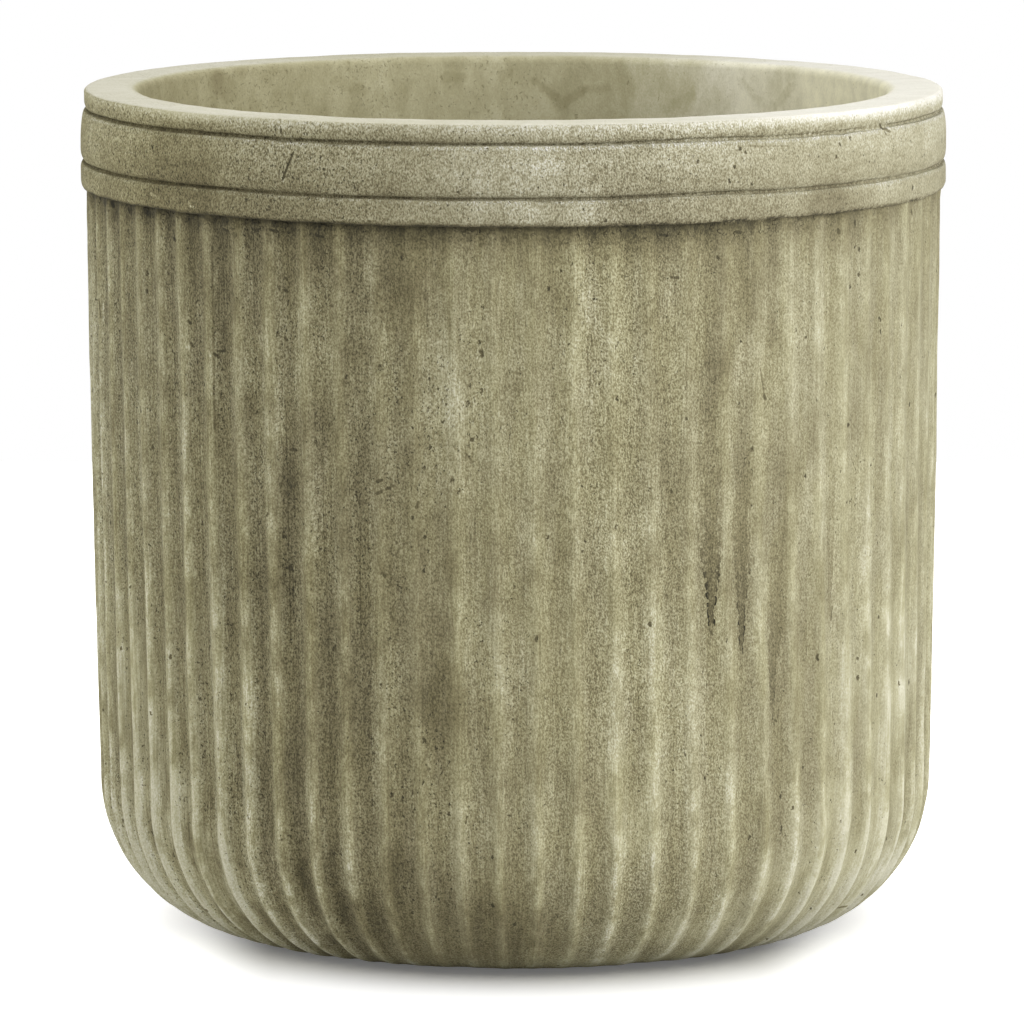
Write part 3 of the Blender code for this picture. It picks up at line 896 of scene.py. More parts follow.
def added(kind, values, output=0, **settings):
    """One output of a new node, placed in the tree that its wires come from."""
    return Wire(node(tree_of(values), kind, values, **settings).outputs[output])


def join(wire, made, name):
    """Leads a wire to an input of a node."""
    wire.socket.id_data.links.new(wire.socket, made.inputs[name])


def new_material(name):
    """A material with nodes, and its shader."""
    material = bpy.data.materials.new(name)
    material.use_nodes = True
    return material, material.node_tree.nodes["Principled BSDF"]


# %% Sums, steps and mixes
def maths(operation, *values):
    """A Math node on wires and numbers."""
    return added("Math", dict(enumerate(values)), operation=operation)


def vectors(operation, first, second, output=0):
    """A Vector Math node on two vectors."""
    return added("VectorMath", {0: first, 1: second}, output, operation=operation)


def fade(value, start, end, low=0.0, high=1.0):
    """`value` from start to end turned into low to high, eased at both ends."""
    values = {"Value": value, "From Min": start, "From Max": end, "To Min": low, "To Max": high}
    return added("MapRange", values, interpolation_type="SMOOTHSTEP", clamp=False)


def swing(wave, low, high):
    """Noise, which keeps mostly between 0.3 and 0.7, turned into low to high."""
    return fade(wave, 0.3, 0.7, low, high)


def mixed(share, first, second):
    """Two numbers mixed by `share`."""
    return added("Mix", {0: share, 2: first, 3: second})


def tint(share, first, second, blend="MIX"):
    """Two colours mixed by `share`. With MULTIPLY the second one multiplies the first."""
    return added("Mix", {0: share, 6: first, 7: second}, 2, data_type="RGBA", blend_type=blend)


def multiplied(level, share, factor):
    """`level` times `factor` where share is 1, and unchanged where it is 0."""
    return level * maths("MULTIPLY_ADD", share, factor - 1, 1.0)


# %% Node groups
VECTOR, NUMBER = None, 0.0


def new_group(name, takes, gives):
    """An empty node group and its inputs as wires. Each socket is a vector, or a number with its default."""
    group = bpy.data.node_groups.new(name, "ShaderNodeTree")
    for in_out, sockets in (("INPUT", takes), ("OUTPUT", gives)):
        for socket, value in sockets.items():
            kind = "NodeSocketVector" if value is VECTOR else "NodeSocketFloat"
            made = group.interface.new_socket(name=socket, in_out=in_out, socket_type=kind)
            if value is not VECTOR:
                made.default_value = value
    given = group.nodes.new("NodeGroupInput").outputs
    return group, {socket: Wire(given[socket]) for socket in takes}


def give(group, results):
    """Leads each result to the group's output of that name."""
    ending = group.nodes.new("NodeGroupOutput")
    for name, wire in results.items():
        join(wire, ending, name)
    return group


def use(group, values, tree=None):
    """Places a node group with its own values and returns its outputs by name."""
    made = node(tree or tree_of(values), "Group", values, node_tree=group)
    return {wire.socket.name: wire for wire in wires(made)}


# %% [markdown]
# ## Effects shared by the finishes
#
# Stains run down, so most patterns are stretched upright. They need a place that is measured round the
# pot and along its surface, without a seam at the back: every point is pushed out to one circle, and the
# height takes in how far the point was moved. The grain and the pinholes are the same in all directions
# and read the true place instead.
#
# A shader can hold about 250 numbers at a time, and this one has many marks. A clamp that is a setting of
# another node is worked out after all other nodes, and what waits for it is held. So no Math or Map Range
# node here has its clamp set: the smooth step needs none, and a Clamp node of its own takes its turn.

# %% Group: round the pot
def round_the_pot_group():
    """Where a point is: its place on one circle, (R x/r, R y/r, z + r - R) with r the distance from the
    axis, its spot on the unrolled pot, (R times its angle, z), and its angle in degrees."""
    vector_names, number_names = ("Position", "Place", "Spot"), ("Angle", "Height", "Sideways", "Backwards")
    gives = dict.fromkeys(vector_names, VECTOR) | dict.fromkeys(number_names, NUMBER)
    group, _ = new_group("round the pot", {}, gives)
    position = Wire(node(group, "TexCoord").outputs["Object"])
    x, y, z = wires(node(group, "SeparateXYZ", {0: position}))
    distance = maths("MAXIMUM", maths("SQRT", x * x + y * y), 0.001)
    pushed = COLLAR_RADIUS / distance
    place = added("CombineXYZ", {0: x * pushed, 1: y * pushed, 2: z + (distance - COLLAR_RADIUS)})
    turn = maths("ARCTAN2", x, y * -1)
    spot = added("CombineXYZ", {0: turn * COLLAR_RADIUS, 1: z})
    results = {"Position": position, "Place": place, "Spot": spot, "Angle": maths("DEGREES", turn)}
    return give(group, results | {"Height": z, "Sideways": x, "Backwards": y})


round_the_pot = round_the_pot_group()


# %% Groups: patches of noise, and a place scattered by noise
def patches_group():
    """Noise from 0 to 1. `Stretch` says how many patches there are to a metre, each way."""
    shape = {"Detail": 2.0, "Roughness": 0.5, "Distortion": 0.0}
    group, given = new_group("patches", {"Place": VECTOR, "Stretch": VECTOR} | shape, {"Noise": NUMBER})
    values = {"Vector": vectors("MULTIPLY", given["Place"], given["Stretch"]), "Scale": 1.0}
    values |= {name: given[name] for name in shape}
    return give(group, {"Noise": added("TexNoise", values, "Fac")})


def scattered_group():
    """A place moved by noise: place + (noise colour - 1/2) reach. `Scale` is noise cells to a metre."""
    takes = {"Place": VECTOR, "Scale": 600.0, "Reach": VECTOR}
    group, given = new_group("scattered", takes, {"Place": VECTOR})
    colour = added("TexNoise", {"Vector": given["Place"], "Scale": given["Scale"], "Detail": 2.0}, "Color")
    moved = vectors("MULTIPLY", vectors("SUBTRACT", colour, (0.5, 0.5, 0.5)), given["Reach"])
    return give(group, {"Place": vectors("ADD", given["Place"], moved)})


patches, scattered = patches_group(), scattered_group()


def noise(place, width, length, detail=2.0, roughness=0.5, distortion=0.0):
    """Noise from 0 to 1 whose patches are about `width` metres across and `length` metres upright."""
    values = {"Place": place, "Stretch": (1 / width, 1 / width, 1 / length)}
    values |= {"Detail": detail, "Roughness": roughness, "Distortion": distortion}
    return use(patches, values)["Noise"]


# %% Group: pinholes
def pinholes_group():
    """Pits where air bubbles met the mould: the middle of a Voronoi cell, in a share of the cells."""
    takes = {"Position": VECTOR, "Cell": 0.005, "Reach": 0.25, "Share": 0.3}
    group, given = new_group("pinholes", takes, {"Hole": NUMBER, "Halo": NUMBER})
    cells = node(group, "TexVoronoi", {"Vector": given["Position"], "Scale": 1 / given["Cell"]})
    distance, colour = wires(cells)[:2]
    chance, size = wires(node(group, "SeparateColor", {0: colour}))[:2]
    radius = given["Reach"] * fade(size, 0, 1, 0.40, 1.0)
    present = maths("LESS_THAN", chance, given["Share"])
    hole = fade(distance, radius * 0.5, radius, 1.0, 0.0)
    halo = fade(distance, radius, radius * 1.9, 1.0, 0.0)
    return give(group, {"Hole": hole * present, "Halo": halo * present})


pinholes = pinholes_group()


# %% Group: run mark
def run_mark_group():
    """A stain that ran down: a tongue that widens upwards, with a darker line round its lowest part."""
    takes = {"Angle": 0.0, "Height": 0.0, "Sway": 0.5, "Fringe": 0.5, "Grain": 0.5}
    takes |= {"Middle": 0.0, "Half Width": 0.7, "Top": 0.3, "End": 0.15}
    group, given = new_group("run mark", takes, {"Mark": NUMBER})
    fringe, grain = given["Fringe"], given["Grain"]
    centre = given["Middle"] + swing(given["Sway"], -0.30, 0.30)
    end = given["End"] + swing(fringe, -0.003, 0.004)
    above_end = given["Height"] - end
    width = given["Half Width"] * fade(above_end, 0.0, 0.045, 0.36, 1.25)
    width = width * fade(fringe, 0.25, 0.75, 0.60, 1.30) * fade(grain, 0.35, 0.65, 0.70, 1.30)
    across = maths("ABSOLUTE", given["Angle"] - centre) / width
    body = fade(across, 0.80, 1.0, 1.0, 0.0) * fade(above_end, -0.0003, 0.0006)
    body = body * fade(grain, 0.36, 0.56, 0.45, 1.05)
    line = fade(across, 0.50, 0.72) * fade(above_end, 0.010, 0.040, 0.70, 0.0)
    strength = line + fade(above_end, 0.005, 0.060, 0.75, 0.62)
    below_top = fade(given["Height"], end + 0.02, given["Top"], 1.0, 0.0)
    return give(group, {"Mark": body * strength * below_top})


run_mark = run_mark_group()


# %% Group: scratch
def scratch_group():
    """A straight mark between two places, as (metres round the pot, height): 1 within its half width.

    The distance from a line is the distance from its nearest point, start + t (end - start), with t kept
    between 0 and 1.
    """
    takes = {"Spot": VECTOR, "Start": VECTOR, "Way": VECTOR, "Half Width": 0.0005}
    group, given = new_group("scratch", takes, {"Mark": NUMBER})
    way, half_width = given["Way"], given["Half Width"]
    away = vectors("SUBTRACT", given["Spot"], given["Start"])
    share = vectors("DOT_PRODUCT", away, way, "Value") / vectors("DOT_PRODUCT", way, way, "Value")
    kept = added("Clamp", {"Value": share})
    nearest = added("VectorMath", {0: way, "Scale": kept}, operation="SCALE")
    apart = vectors("DISTANCE", away, nearest, "Value")
    return give(group, {"Mark": fade(apart, half_width * 0.4, half_width, 1.0, 0.0)})


scratch = scratch_group()
print("Shared groups:", [group.name for group in bpy.data.node_groups])

# %% [markdown]
# ## Cement
#
# Cement that is clean and dry is pale and nearly grey; where dirt and algae sit in it, it is darker and
# browner. So one number does most of the work: how pale the cement is at each place, about 0.1 in a dark
# scoop and 0.6 on the rim. The same number also carries painted light and shade: shade in the scoops, the
# grooves and under the bead, light on the ridges, the crisp edges and the side towards the lamps. It starts
# at an even level and is multiplied by one effect after the other: clouds, streaks, darker scoops and paler
# ridges, then the marks at one place only, then grain and pinholes. At the end the number picks its colour
# from a ramp. Mixing whole colours at each step would work too, but twenty mixed colours are hard to keep
# in step.

# %% Shades of the cement and its placed marks
SHADES = (
    (0.000, (0.012, 0.011, 0.006, 1)),
    (0.100, (0.116, 0.100, 0.052, 1)),
    (0.175, (0.200, 0.175, 0.096, 1)),
    (0.255, (0.277, 0.255, 0.148, 1)),
    (0.360, (0.385, 0.360, 0.230, 1)),
    (0.500, (0.523, 0.500, 0.365, 1)),
    (0.750, (0.770, 0.750, 0.665, 1)),
    (1.000, (0.960, 0.940, 0.830, 1)),
)
CEMENT_LEVEL = 0.254
COLLAR_LEVEL = 0.292
HOLLOW_LEVEL = 0.320
PALEST_WALL = 0.50

# Runs of dirty water: angle, half width in degrees, top, end, share of the light they take
RUN_MARKS = (
    (26.8, 1.30, 0.290, 0.1610, 0.70),
    (31.4, 1.05, 0.280, 0.1500, 0.66),
    (36.9, 1.15, 0.230, 0.1230, 0.42),
    (47.0, 0.60, 0.250, 0.1560, 0.30),
)

# Fine dark veins in the hollow, as in SCRATCHES
VEINS = (
    (-169.0, 0.3793, -172.0, 0.3790, 0.0034, 0.84),
    (-179.6, 0.3806, -178.2, 0.3796, 0.0034, 0.86),
    (176.6, 0.3775, 172.9, 0.3690, 0.0030, 0.82),
    (172.4, 0.3650, 168.6, 0.3730, 0.0032, 0.84),
    (168.6, 0.3730, 164.5, 0.3742, 0.0030, 0.86),
    (155.0, 0.3650, 150.0, 0.3720, 0.0036, 0.90),
    (-125.9, 0.3836, -128.5, 0.3780, 0.0090, 0.80),
    (-150.0, 0.3790, -155.0, 0.3740, 0.0040, 0.88),
    (133.3, 0.3700, 129.6, 0.3800, 0.0034, 0.88),
    (141.0, 0.3800, 137.5, 0.3720, 0.0034, 0.90),
)

# Marks like scratches: from angle and height to angle and height, half width, multiplier. Some dark ones
# beside pale ones paint the shade in a small cavity and the light on its edge.
SCRATCHES = (
    (-29.1, 0.3746, -30.5, 0.3633, 0.0008, 0.25),
    (-30.6, 0.3626, -30.6, 0.3620, 0.0009, 1.60),
    (30.1, 0.3766, 30.1, 0.3762, 0.0011, 0.20),
    (30.8, 0.3747, 30.9, 0.3743, 0.0009, 0.25),
    (29.2, 0.3688, 29.2, 0.3684, 0.0010, 0.25),
    (46.0, 0.3699, 46.0, 0.3695, 0.0010, 0.30),
    (29.9, 0.3775, 37.7, 0.3761, 0.0005, 0.70),
    (56.2, 0.3815, 56.6, 0.3796, 0.0009, 0.45),
    (56.6, 0.3796, 58.2, 0.3778, 0.0010, 0.40),
    (56.9, 0.3778, 57.3, 0.3765, 0.0008, 0.55),
    (58.0, 0.3797, 58.4, 0.3788, 0.0009, 1.30),
    (-54.4, 0.3508, -53.4, 0.3502, 0.0011, 1.60),
    (-53.2, 0.3494, -52.4, 0.3500, 0.0009, 1.45),
    (-46.4, 0.3490, -45.9, 0.3478, 0.0010, 1.55),
    (-45.9, 0.3476, -45.2, 0.3472, 0.0009, 1.75),
    (47.5, 0.3362, 47.6, 0.3350, 0.0013, 0.40),
    (51.1, 0.3389, 51.2, 0.3380, 0.0012, 0.45),
    (66.5, 0.3393, 66.7, 0.3380, 0.0012, 0.40),
    (-32.4, 0.3532, -32.4, 0.3529, 0.0010, 0.30),
    (33.8, 0.2779, 34.6, 0.2656, 0.0005, 0.50),
    (34.6, 0.2650, 34.8, 0.2640, 0.0012, 0.35),
    (47.4, 0.1600, 47.6, 0.1660, 0.0006, 0.40),
    (-6.3, 0.0780, -6.1, 0.0812, 0.0006, 0.45),
    (-0.2, 0.1365, 0.1, 0.1401, 0.0006, 0.50),
    (10.2, 0.2915, 10.0, 0.2963, 0.0006, 0.45),
    (60.5, 0.0193, 61.6, 0.0196, 0.0007, 0.40),
    (36.9, 0.1235, 36.8, 0.1190, 0.0006, 0.55),
    (36.8, 0.1190, 37.5, 0.1175, 0.0006, 0.55),
    (37.5, 0.1175, 37.9, 0.1225, 0.0006, 0.60),
    (-50.7, 0.3314, -50.3, 0.3308, 0.0013, 0.22),
    (-50.9, 0.3350, -50.6, 0.3320, 0.0012, 0.55),
    (-68.2, 0.3424, -67.8, 0.3410, 0.0015, 0.25),
    (-62.2, 0.3412, -61.5, 0.3396, 0.0016, 0.40),
    (-57.5, 0.3420, -56.6, 0.3404, 0.0022, 0.40),
    (-47.6, 0.2852, -47.2, 0.2838, 0.0010, 0.40),
    (-48.3, 0.2848, -48.0, 0.2830, 0.0012, 1.45),
    (-42.4, 0.2832, -41.2, 0.2836, 0.0008, 0.40),
    (-42.9, 0.2818, -42.3, 0.2804, 0.0010, 0.35),
    (-41.9, 0.2822, -41.4, 0.2826, 0.0008, 1.25),
    (-43.8, 0.2830, -43.5, 0.2812, 0.0012, 1.45),
    (-47.9, 0.2951, -47.6, 0.2943, 0.0012, 0.35),
    (-74.4, 0.2960, -74.2, 0.2880, 0.0010, 0.45),
    (-72.4, 0.2955, -72.6, 0.2860, 0.0010, 0.45),
    (-73.4, 0.2940, -73.4, 0.2870, 0.0010, 1.40),
    (-31.3, 0.3133, -30.7, 0.3126, 0.0008, 0.35),
    (-30.9, 0.3186, -30.7, 0.3178, 0.0009, 0.35),
    (-31.1, 0.2918, -30.9, 0.2910, 0.0012, 0.35),
    (-46.5, 0.2606, -46.3, 0.2592, 0.0010, 0.45),
    (-50.4, 0.2630, -50.2, 0.2624, 0.0010, 0.40),
    (-30.4, 0.2420, -29.6, 0.2420, 0.0010, 0.40),
    (-17.8, 0.2304, -17.2, 0.2310, 0.0011, 0.40),
    (-17.9, 0.2250, -17.3, 0.2258, 0.0011, 0.40),
    (-16.6, 0.2272, -16.3, 0.2276, 0.0010, 0.35),
    (-12.6, 0.2194, -12.3, 0.2216, 0.0011, 0.40),
    (-24.4, 0.1536, -24.1, 0.1552, 0.0011, 0.40),
    (-17.2, 0.1895, -16.9, 0.1880, 0.0010, 0.45),
    (-6.2, 0.2440, -5.2, 0.2400, 0.0006, 0.50),
)

# Painted shade in creases along the bottoms of scoops, and upright hairlines: angle, low, high, half width,
# multiplier
HAIRLINES = (
    (-31.1, 0.156, 0.262, 0.0005, 0.62),
    (-25.6, 0.190, 0.262, 0.0005, 0.62),
    (-20.4, 0.150, 0.222, 0.0005, 0.66),
    (9.6, 0.2800, 0.2960, 0.0005, 0.60),
    (22.9, 0.2640, 0.3060, 0.0004, 0.75),
    (-43.0, 0.2480, 0.3300, 0.0008, 0.66),
)


# %% The material, where a point is, and the marks of the mesh
cement, cement_shader = new_material("weathered cement")
where = use(round_the_pot, {}, cement.node_tree)
position, place, spot, angle = where["Position"], where["Place"], where["Spot"], where["Angle"]
height, sideways, backwards = where["Height"], where["Sideways"], where["Backwards"]
readers = {name: node(cement.node_tree, "Attribute", attribute_name=name) for name in MARKS}
stored = {name: Wire(reader.outputs["Fac"]) for name, reader in readers.items()}
fluting, off_ridge, inside, rim_top = stored["fluting"], stored["off_ridge"], stored["inside"], stored["rim"]
below_collar = fade(height, COLLAR_UNDERSIDE - 0.001, COLLAR_UNDERSIDE + 0.001, 1.0, 0.0)
on_wall = mixed(inside, below_collar, 0.0)
# Painted shade under the bead is weaker towards the right, which is more brightly lit
weaker_on_right = fade(sideways, 0.08, 0.18, 1.0, 0.30)
print("Marks of the mesh:", list(stored))


def below_bead(start, end):
    """On the wall, rising from 0 at `start` metres under the bead to 1 at `end` metres under it. The right
    side of the pot gets less."""
    return fade(height, COLLAR_UNDERSIDE - start, COLLAR_UNDERSIDE - end) * on_wall * weaker_on_right


# %% Patterns of the cement
clouds = noise(place, 0.045, 0.070, 3.0, 0.55)
blotches = noise(place, 0.012, 0.018, 4.0, 0.62, 0.3)
streaks = noise(place, 0.0060, 0.120, 3.0, 0.6)
bands = noise(place, 0.0085, 0.150)
hairs = noise(place, 0.0010, 0.020, 2.0, 0.6)
brushed = noise(place, 0.0300, 0.0035, 2.0, 0.6)
grains = noise(position, 0.00070, 0.00105, 1.0, 0.6)
clumps = noise(position, 0.0023, 0.0032, 2.0, 0.6)
lumps = noise(position, 0.0040, 0.0040, 1.0)
uneven = swing(blotches, 0.15, 0.95)

# %% [markdown]
# The wall is darker in its scoops and paler on its ridges: dirt and rubbing, and also painted shade in the
# scoops and painted light on the ridges. Where a scoop is deepest there is a thin line of painted shade, and
# where a ridge stands highest a thin painted highlight. The collar has neither, only marks of the brush that
# smoothed it. Patches of weather and painted light come last, and a soft upper limit keeps ridges in a pale
# patch from turning white.

# %% Level of the wall and the collar
wall_level = CEMENT_LEVEL * swing(streaks, 0.92, 1.08) * fade(bands, 0.46, 0.54, 0.94, 1.06)
# Scoops darker and ridges paler: partly dirt and rubbing, partly painted shade and light
wall_level = wall_level * (fluting * uneven + 1)
# Painted shade along the middle of each scoop, mostly on the left, and a painted highlight on each crest
crease_shade = fade(sideways, -0.17, -0.02, 1.0, 0.25) * fade(streaks, 0.35, 0.60, 0.2, 1.0)
wall_level = multiplied(wall_level, fade(off_ridge, 0.455, 0.495) * crease_shade, 0.72)
crest_highlight = fade(off_ridge, 0.04, 0.11, 1.0, 0.0) * fade(fluting, 0.05, 0.5) * uneven
wall_level = multiplied(wall_level, crest_highlight, 1.10)
wall_level = wall_level * (swing(hairs, -1, 1) * fade(sideways, -0.12, 0.16, 0.17, 0.09) + 1)
level = mixed(on_wall, COLLAR_LEVEL * swing(brushed, 0.935, 1.065), wall_level) * swing(clouds, 0.86, 1.12)
level = level * (swing(blotches, -0.12, 0.12) * mixed(on_wall, 0.55, 1.0) + 1) * (stored["weather_and_light"] + 1)
level = maths("SMOOTH_MIN", level, PALEST_WALL, 0.12)


# %% Placed marks
def spread_out(bend):
    """The place on the unrolled pot, bent by noise of `bend` metres."""
    return use(scattered, {"Place": spot, "Scale": 0.7 / bend, "Reach": (2 * bend, 2 * bend, 0)})["Place"]


def scratched(bend, scratches):
    """What a list of marks like scratches, bent by `bend` metres, multiplies the level by."""
    place_on_pot, factors = spread_out(bend), 1.0
    for start_angle, start_height, end_angle, end_height, half_width, factor in scratches:
        start = (math.radians(start_angle) * COLLAR_RADIUS, start_height, 0)
        way = (math.radians(end_angle - start_angle) * COLLAR_RADIUS, end_height - start_height, 0)
        values = {"Spot": place_on_pot, "Start": start, "Way": way, "Half Width": half_width}
        factors = multiplied(factors, use(scratch, values)["Mark"], factor)
    return factors


def runs():
    """What the runs of dirty water multiply the level by."""
    sway, fringe = noise(place, 1.0, 0.018), noise(place, 0.0012, 0.020, 3.0, 0.6)
    factors = 1.0
    for middle, half_width, top, end, taken in RUN_MARKS:
        values = {"Angle": angle, "Height": height, "Sway": sway, "Fringe": fringe, "Grain": clumps}
        values |= {"Middle": middle, "Half Width": half_width, "Top": top, "End": end}
        factors = multiplied(factors, use(run_mark, values)["Mark"], 1 - taken)
    return factors


hairlines = [(at, low, at, high, wide, factor) for at, low, high, wide, factor in HAIRLINES]
# Each drop under the bead gets a painted highlight on its top and a painted shadow under it
drop_highlights = [(at - 0.35, z, at + 0.35, z, size / 2, 1.25) for at, z, size in DROPS]
drop_shadows = [(at - 0.6, z - size / 2, at + 0.3, z - 0.65 * size, 0.0010, 0.40) for at, z, size in DROPS]
placed = [*SCRATCHES, *hairlines, *drop_highlights, *drop_shadows]
level = level * (runs() * scratched(0.0004, placed))
# Painted light on the collar: paler towards the right and at the top of the band, darker at its foot
collar_painted_light = fade(sideways, -0.19, 0.19, 0.80, 0.92)
collar_painted_light = collar_painted_light * fade(height, lower_groove + 0.002, upper_groove - 0.003, 0.91, 1.16)
# Painted shade on the upper wall under the bead
level = multiplied(level * mixed(on_wall, collar_painted_light, 1.0), below_bead(0.070, 0.010), 0.86)
print("Placed marks:", len(placed) + len(RUN_MARKS))

# %% [markdown]
# The hollow and the rim have levels of their own, with painted light: both are paler towards the right. Then
# shade is painted where light doesn't reach: in the grooves, which hold some dirt too, above them where the
# mouldings roll under, under the bead and in the tops of the scoops. Crumbs fill the grooves in places, more
# of them towards the right, and make the painted shade weaker there.

# %% Hollow, rim and painted shade
hollow_level = HOLLOW_LEVEL * swing(blotches, 0.87, 1.12) * swing(clouds, 0.9, 1.1)
# Painted light in the hollow: much paler towards the right, darker at the left
hollow_level = hollow_level * fade(sideways, 0.02, 0.17, 1.0, 2.8) * fade(sideways, -0.17, -0.05, 0.78, 1.0)
hollow_level = hollow_level * scratched(0.0022, VEINS)
# The rim is painted paler towards the right, as lit from that side, and a little darker at its front and
# back
rim_level = swing(blotches, 0.96, 1.04) * fade(sideways, -0.18, 0.18, 0.60, 0.75)
rim_level = rim_level * fade(backwards, -0.19, -0.13, 0.86, 1.0) * fade(backwards, 0.12, 0.18, 1.0, 0.78)
# The crisp edges under the grooves get a painted highlight
level = mixed(inside, mixed(rim_top, level, rim_level), hollow_level) * (stored["edge"] * 0.32 + 1)
# Painted shade in the grooves, above them and under the bead, weaker where crumbs fill a groove and on the
# right
crumbly = fade(clumps, 0.44, 0.58) * fade(angle, -10, 30, 0.20, 0.70)
level = multiplied(level, stored["dirt_and_shade"] * mixed(on_wall, 1 - crumbly, weaker_on_right), 0.22)
# Painted shade: darker right under the bead, and in the tops of the scoops below it
level = multiplied(level, below_bead(0.014, 0.0), 0.84)
scoop_top_shade = below_bead(0.022, 0.004) * fade(fluting, -0.10, 0.20, 1.0, 0.0)
level = multiplied(level, scoop_top_shade * fade(blotches, 0.35, 0.55, 0.5, 1.0), 0.70)

# %% Grain
smooth = maths("MAXIMUM", fade(rim_top, 0.15, 0.95), inside)
grain_strength = mixed(smooth, 1.0, 0.15) * fade(sideways, 0.02, 0.17, 1.58, 0.88)
front = fade(sideways, -0.07, -0.03) * fade(sideways, 0.01, 0.05, 1.0, 0.0)
grain_strength = multiplied(grain_strength, front, 0.76)
grain_strength = multiplied(grain_strength, fade(stored["weather_and_light"], -0.05, 0.35) * on_wall, 0.48)
low_left = fade(height, 0.080, 0.100) * fade(height, 0.150, 0.190, 1.0, 0.0)
grain_strength = multiplied(grain_strength, low_left * fade(sideways, -0.14, -0.10, 1.0, 0.0), 0.68)
in_scoop = mixed(on_wall, 1.0, fade(fluting, -0.20, 0.35, 1.0, 0.0))
grain_strength = grain_strength * fade(in_scoop, 0.0, 1.0, 0.75, 1.20)
speckle = grains * 0.76 + clumps * 0.24
level = level * (fade(speckle, 0.28, 0.72, -0.34, 0.34) * grain_strength + 1)

# %% Pinholes, and crumbs under the bead and on the edges
bent = use(scattered, {"Place": position, "Scale": 600.0, "Reach": (0.0026, 0.0026, 0.0026)})["Place"]
bent = vectors("MULTIPLY", bent, (1, 1, 0.6))
crowd = fade(clouds, 0.35, 0.65, 0.35, 1.0) * fade(sideways, -0.14, 0.12, 1.25, 0.55)
fine = use(pinholes, {"Position": bent, "Cell": 0.0050, "Reach": 0.20, "Share": crowd * 0.40})
coarse = use(pinholes, {"Position": bent, "Cell": 0.0150, "Reach": 0.10, "Share": crowd * 0.50})
torn = noise(position, 0.0012, 0.0015, 2.0, 0.6) + fade(crowd, 0.2, 1.1, -0.05, 0.03)
torn = torn + fade(in_scoop, 0.0, 1.0, -0.035, 0.02)
holes = maths("MAXIMUM", fade(torn, 0.66, 0.70), maths("MAXIMUM", fine["Hole"], coarse["Hole"]))
holes = holes * mixed(smooth, 1.0, 0.3)
halos = maths("MAXIMUM", fade(torn, 0.58, 0.64), maths("MAXIMUM", fine["Halo"], coarse["Halo"]))
# Pinholes are painted dark, as the shade inside a pit, with a slightly paler painted rim round each
level = multiplied(multiplied(level, halos * (1 - smooth), 1.08), holes, 0.28)
hanging = below_bead(0.012, 0.002)
# Under the bead, painted light on the crumbs and painted shade round them
crumb = fade(lumps, 0.60, 0.66) * hanging
level = multiplied(level, fade(lumps, 0.34, 0.46, 1.0, 0.0) * hanging, 0.60)
# Painted glints on the grit along the crisp edges
grit = stored["edge"] * fade(speckle, 0.50, 0.62) * (1 - smooth)
level = multiplied(multiplied(level, crumb, 1.20), grit, 1.12)

# %% [markdown]
# The ramp gives each level its colour. Real cement isn't one family of colours, though: rubbed ridges are
# yellower, a pale bloom lies on parts of the wall, and the right side is a little greyer than the left.

# %% Colour
ramp = node(cement.node_tree, "ValToRGB", {0: level})
while len(ramp.color_ramp.elements) < len(SHADES):
    ramp.color_ramp.elements.new(0.5)
for element, (at_level, shade) in zip(ramp.color_ramp.elements, SHADES):
    element.position = at_level
    element.color = shade

yellow = fade(fluting, 0.0, 0.6, 0.05, 0.25) * on_wall * fade(height, 0.02, 0.11, 0.25, 1.0)
hue = fade(noise(place, 0.010, 0.050, 3.0, 0.55), 0.40, 0.60)
hue = tint(hue, (0.990, 1.0, 1.015, 1), (0.992, 1.0, 0.975, 1))
bloom = fade(noise(place, 0.016, 0.026, 5.0, 0.65, 0.4), 0.54, 0.62) * on_wall
bloom = bloom * fade(fluting, 0.1, 0.5, 1.0, 0.4)
off_rim = 1 - maths("MAXIMUM", inside, fade(rim_top, 0.80, 0.98))
greyer = off_rim * mixed(on_wall, fade(sideways, -0.11, 0.01), fade(sideways, 0.0, 0.17, 0.0, 0.6))
warmer = off_rim * (1 - on_wall) * fade(sideways, -0.17, -0.10, 1.0, 0.0)
tints = (
    (yellow, (1.03, 1.0, 0.78, 1)),
    (on_wall, hue),
    (bloom, (1.05, 1.05, 1.07, 1)),
    # the painted light on the hollow's right side is also yellower
    (inside * fade(sideways, 0.03, 0.16), (1.02, 1.0, 0.82, 1)),
    (greyer, (0.99, 1.0, 1.10, 1)),
    (warmer, (1.01, 1.0, 0.91, 1)),
)
colour = wires(ramp)[0]
for share, shade in tints:
    colour = tint(share, colour, shade, "MULTIPLY")

# %% Relief, and the finished material
relief = speckle * grain_strength * 0.00045 + crumb * 0.0012 + grit * 0.0004
relief = relief + hairs * on_wall * 0.00020 + blotches * 0.0005 - holes * 0.0006
join(colour, cement_shader, "Base Color")
join(added("Bump", {"Height": relief, "Strength": 1.0, "Distance": 1.0}), cement_shader, "Normal")
join(swing(speckle, 0.86, 0.98), cement_shader, "Roughness")
cement_shader.inputs["Specular IOR Level"].default_value = 0.25
casting.data.materials.append(cement)
print("Cement finish:", len(cement.node_tree.nodes), "nodes")

# %% [markdown]
# ## Rubber
#
# The plug and the pads are black moulded rubber. New rubber is a plain dark satin; after a season outdoors
# it greys, and cement dust settles in its corners. Both finishes are the same two layers with other
# strengths, so one function makes them.

# %% The rubber finishes
RUBBER_BLACK = (0.030, 0.031, 0.033, 1)
RUBBER_GREY = (0.070, 0.070, 0.068, 1)
CEMENT_DUST = (0.300, 0.280, 0.210, 1)


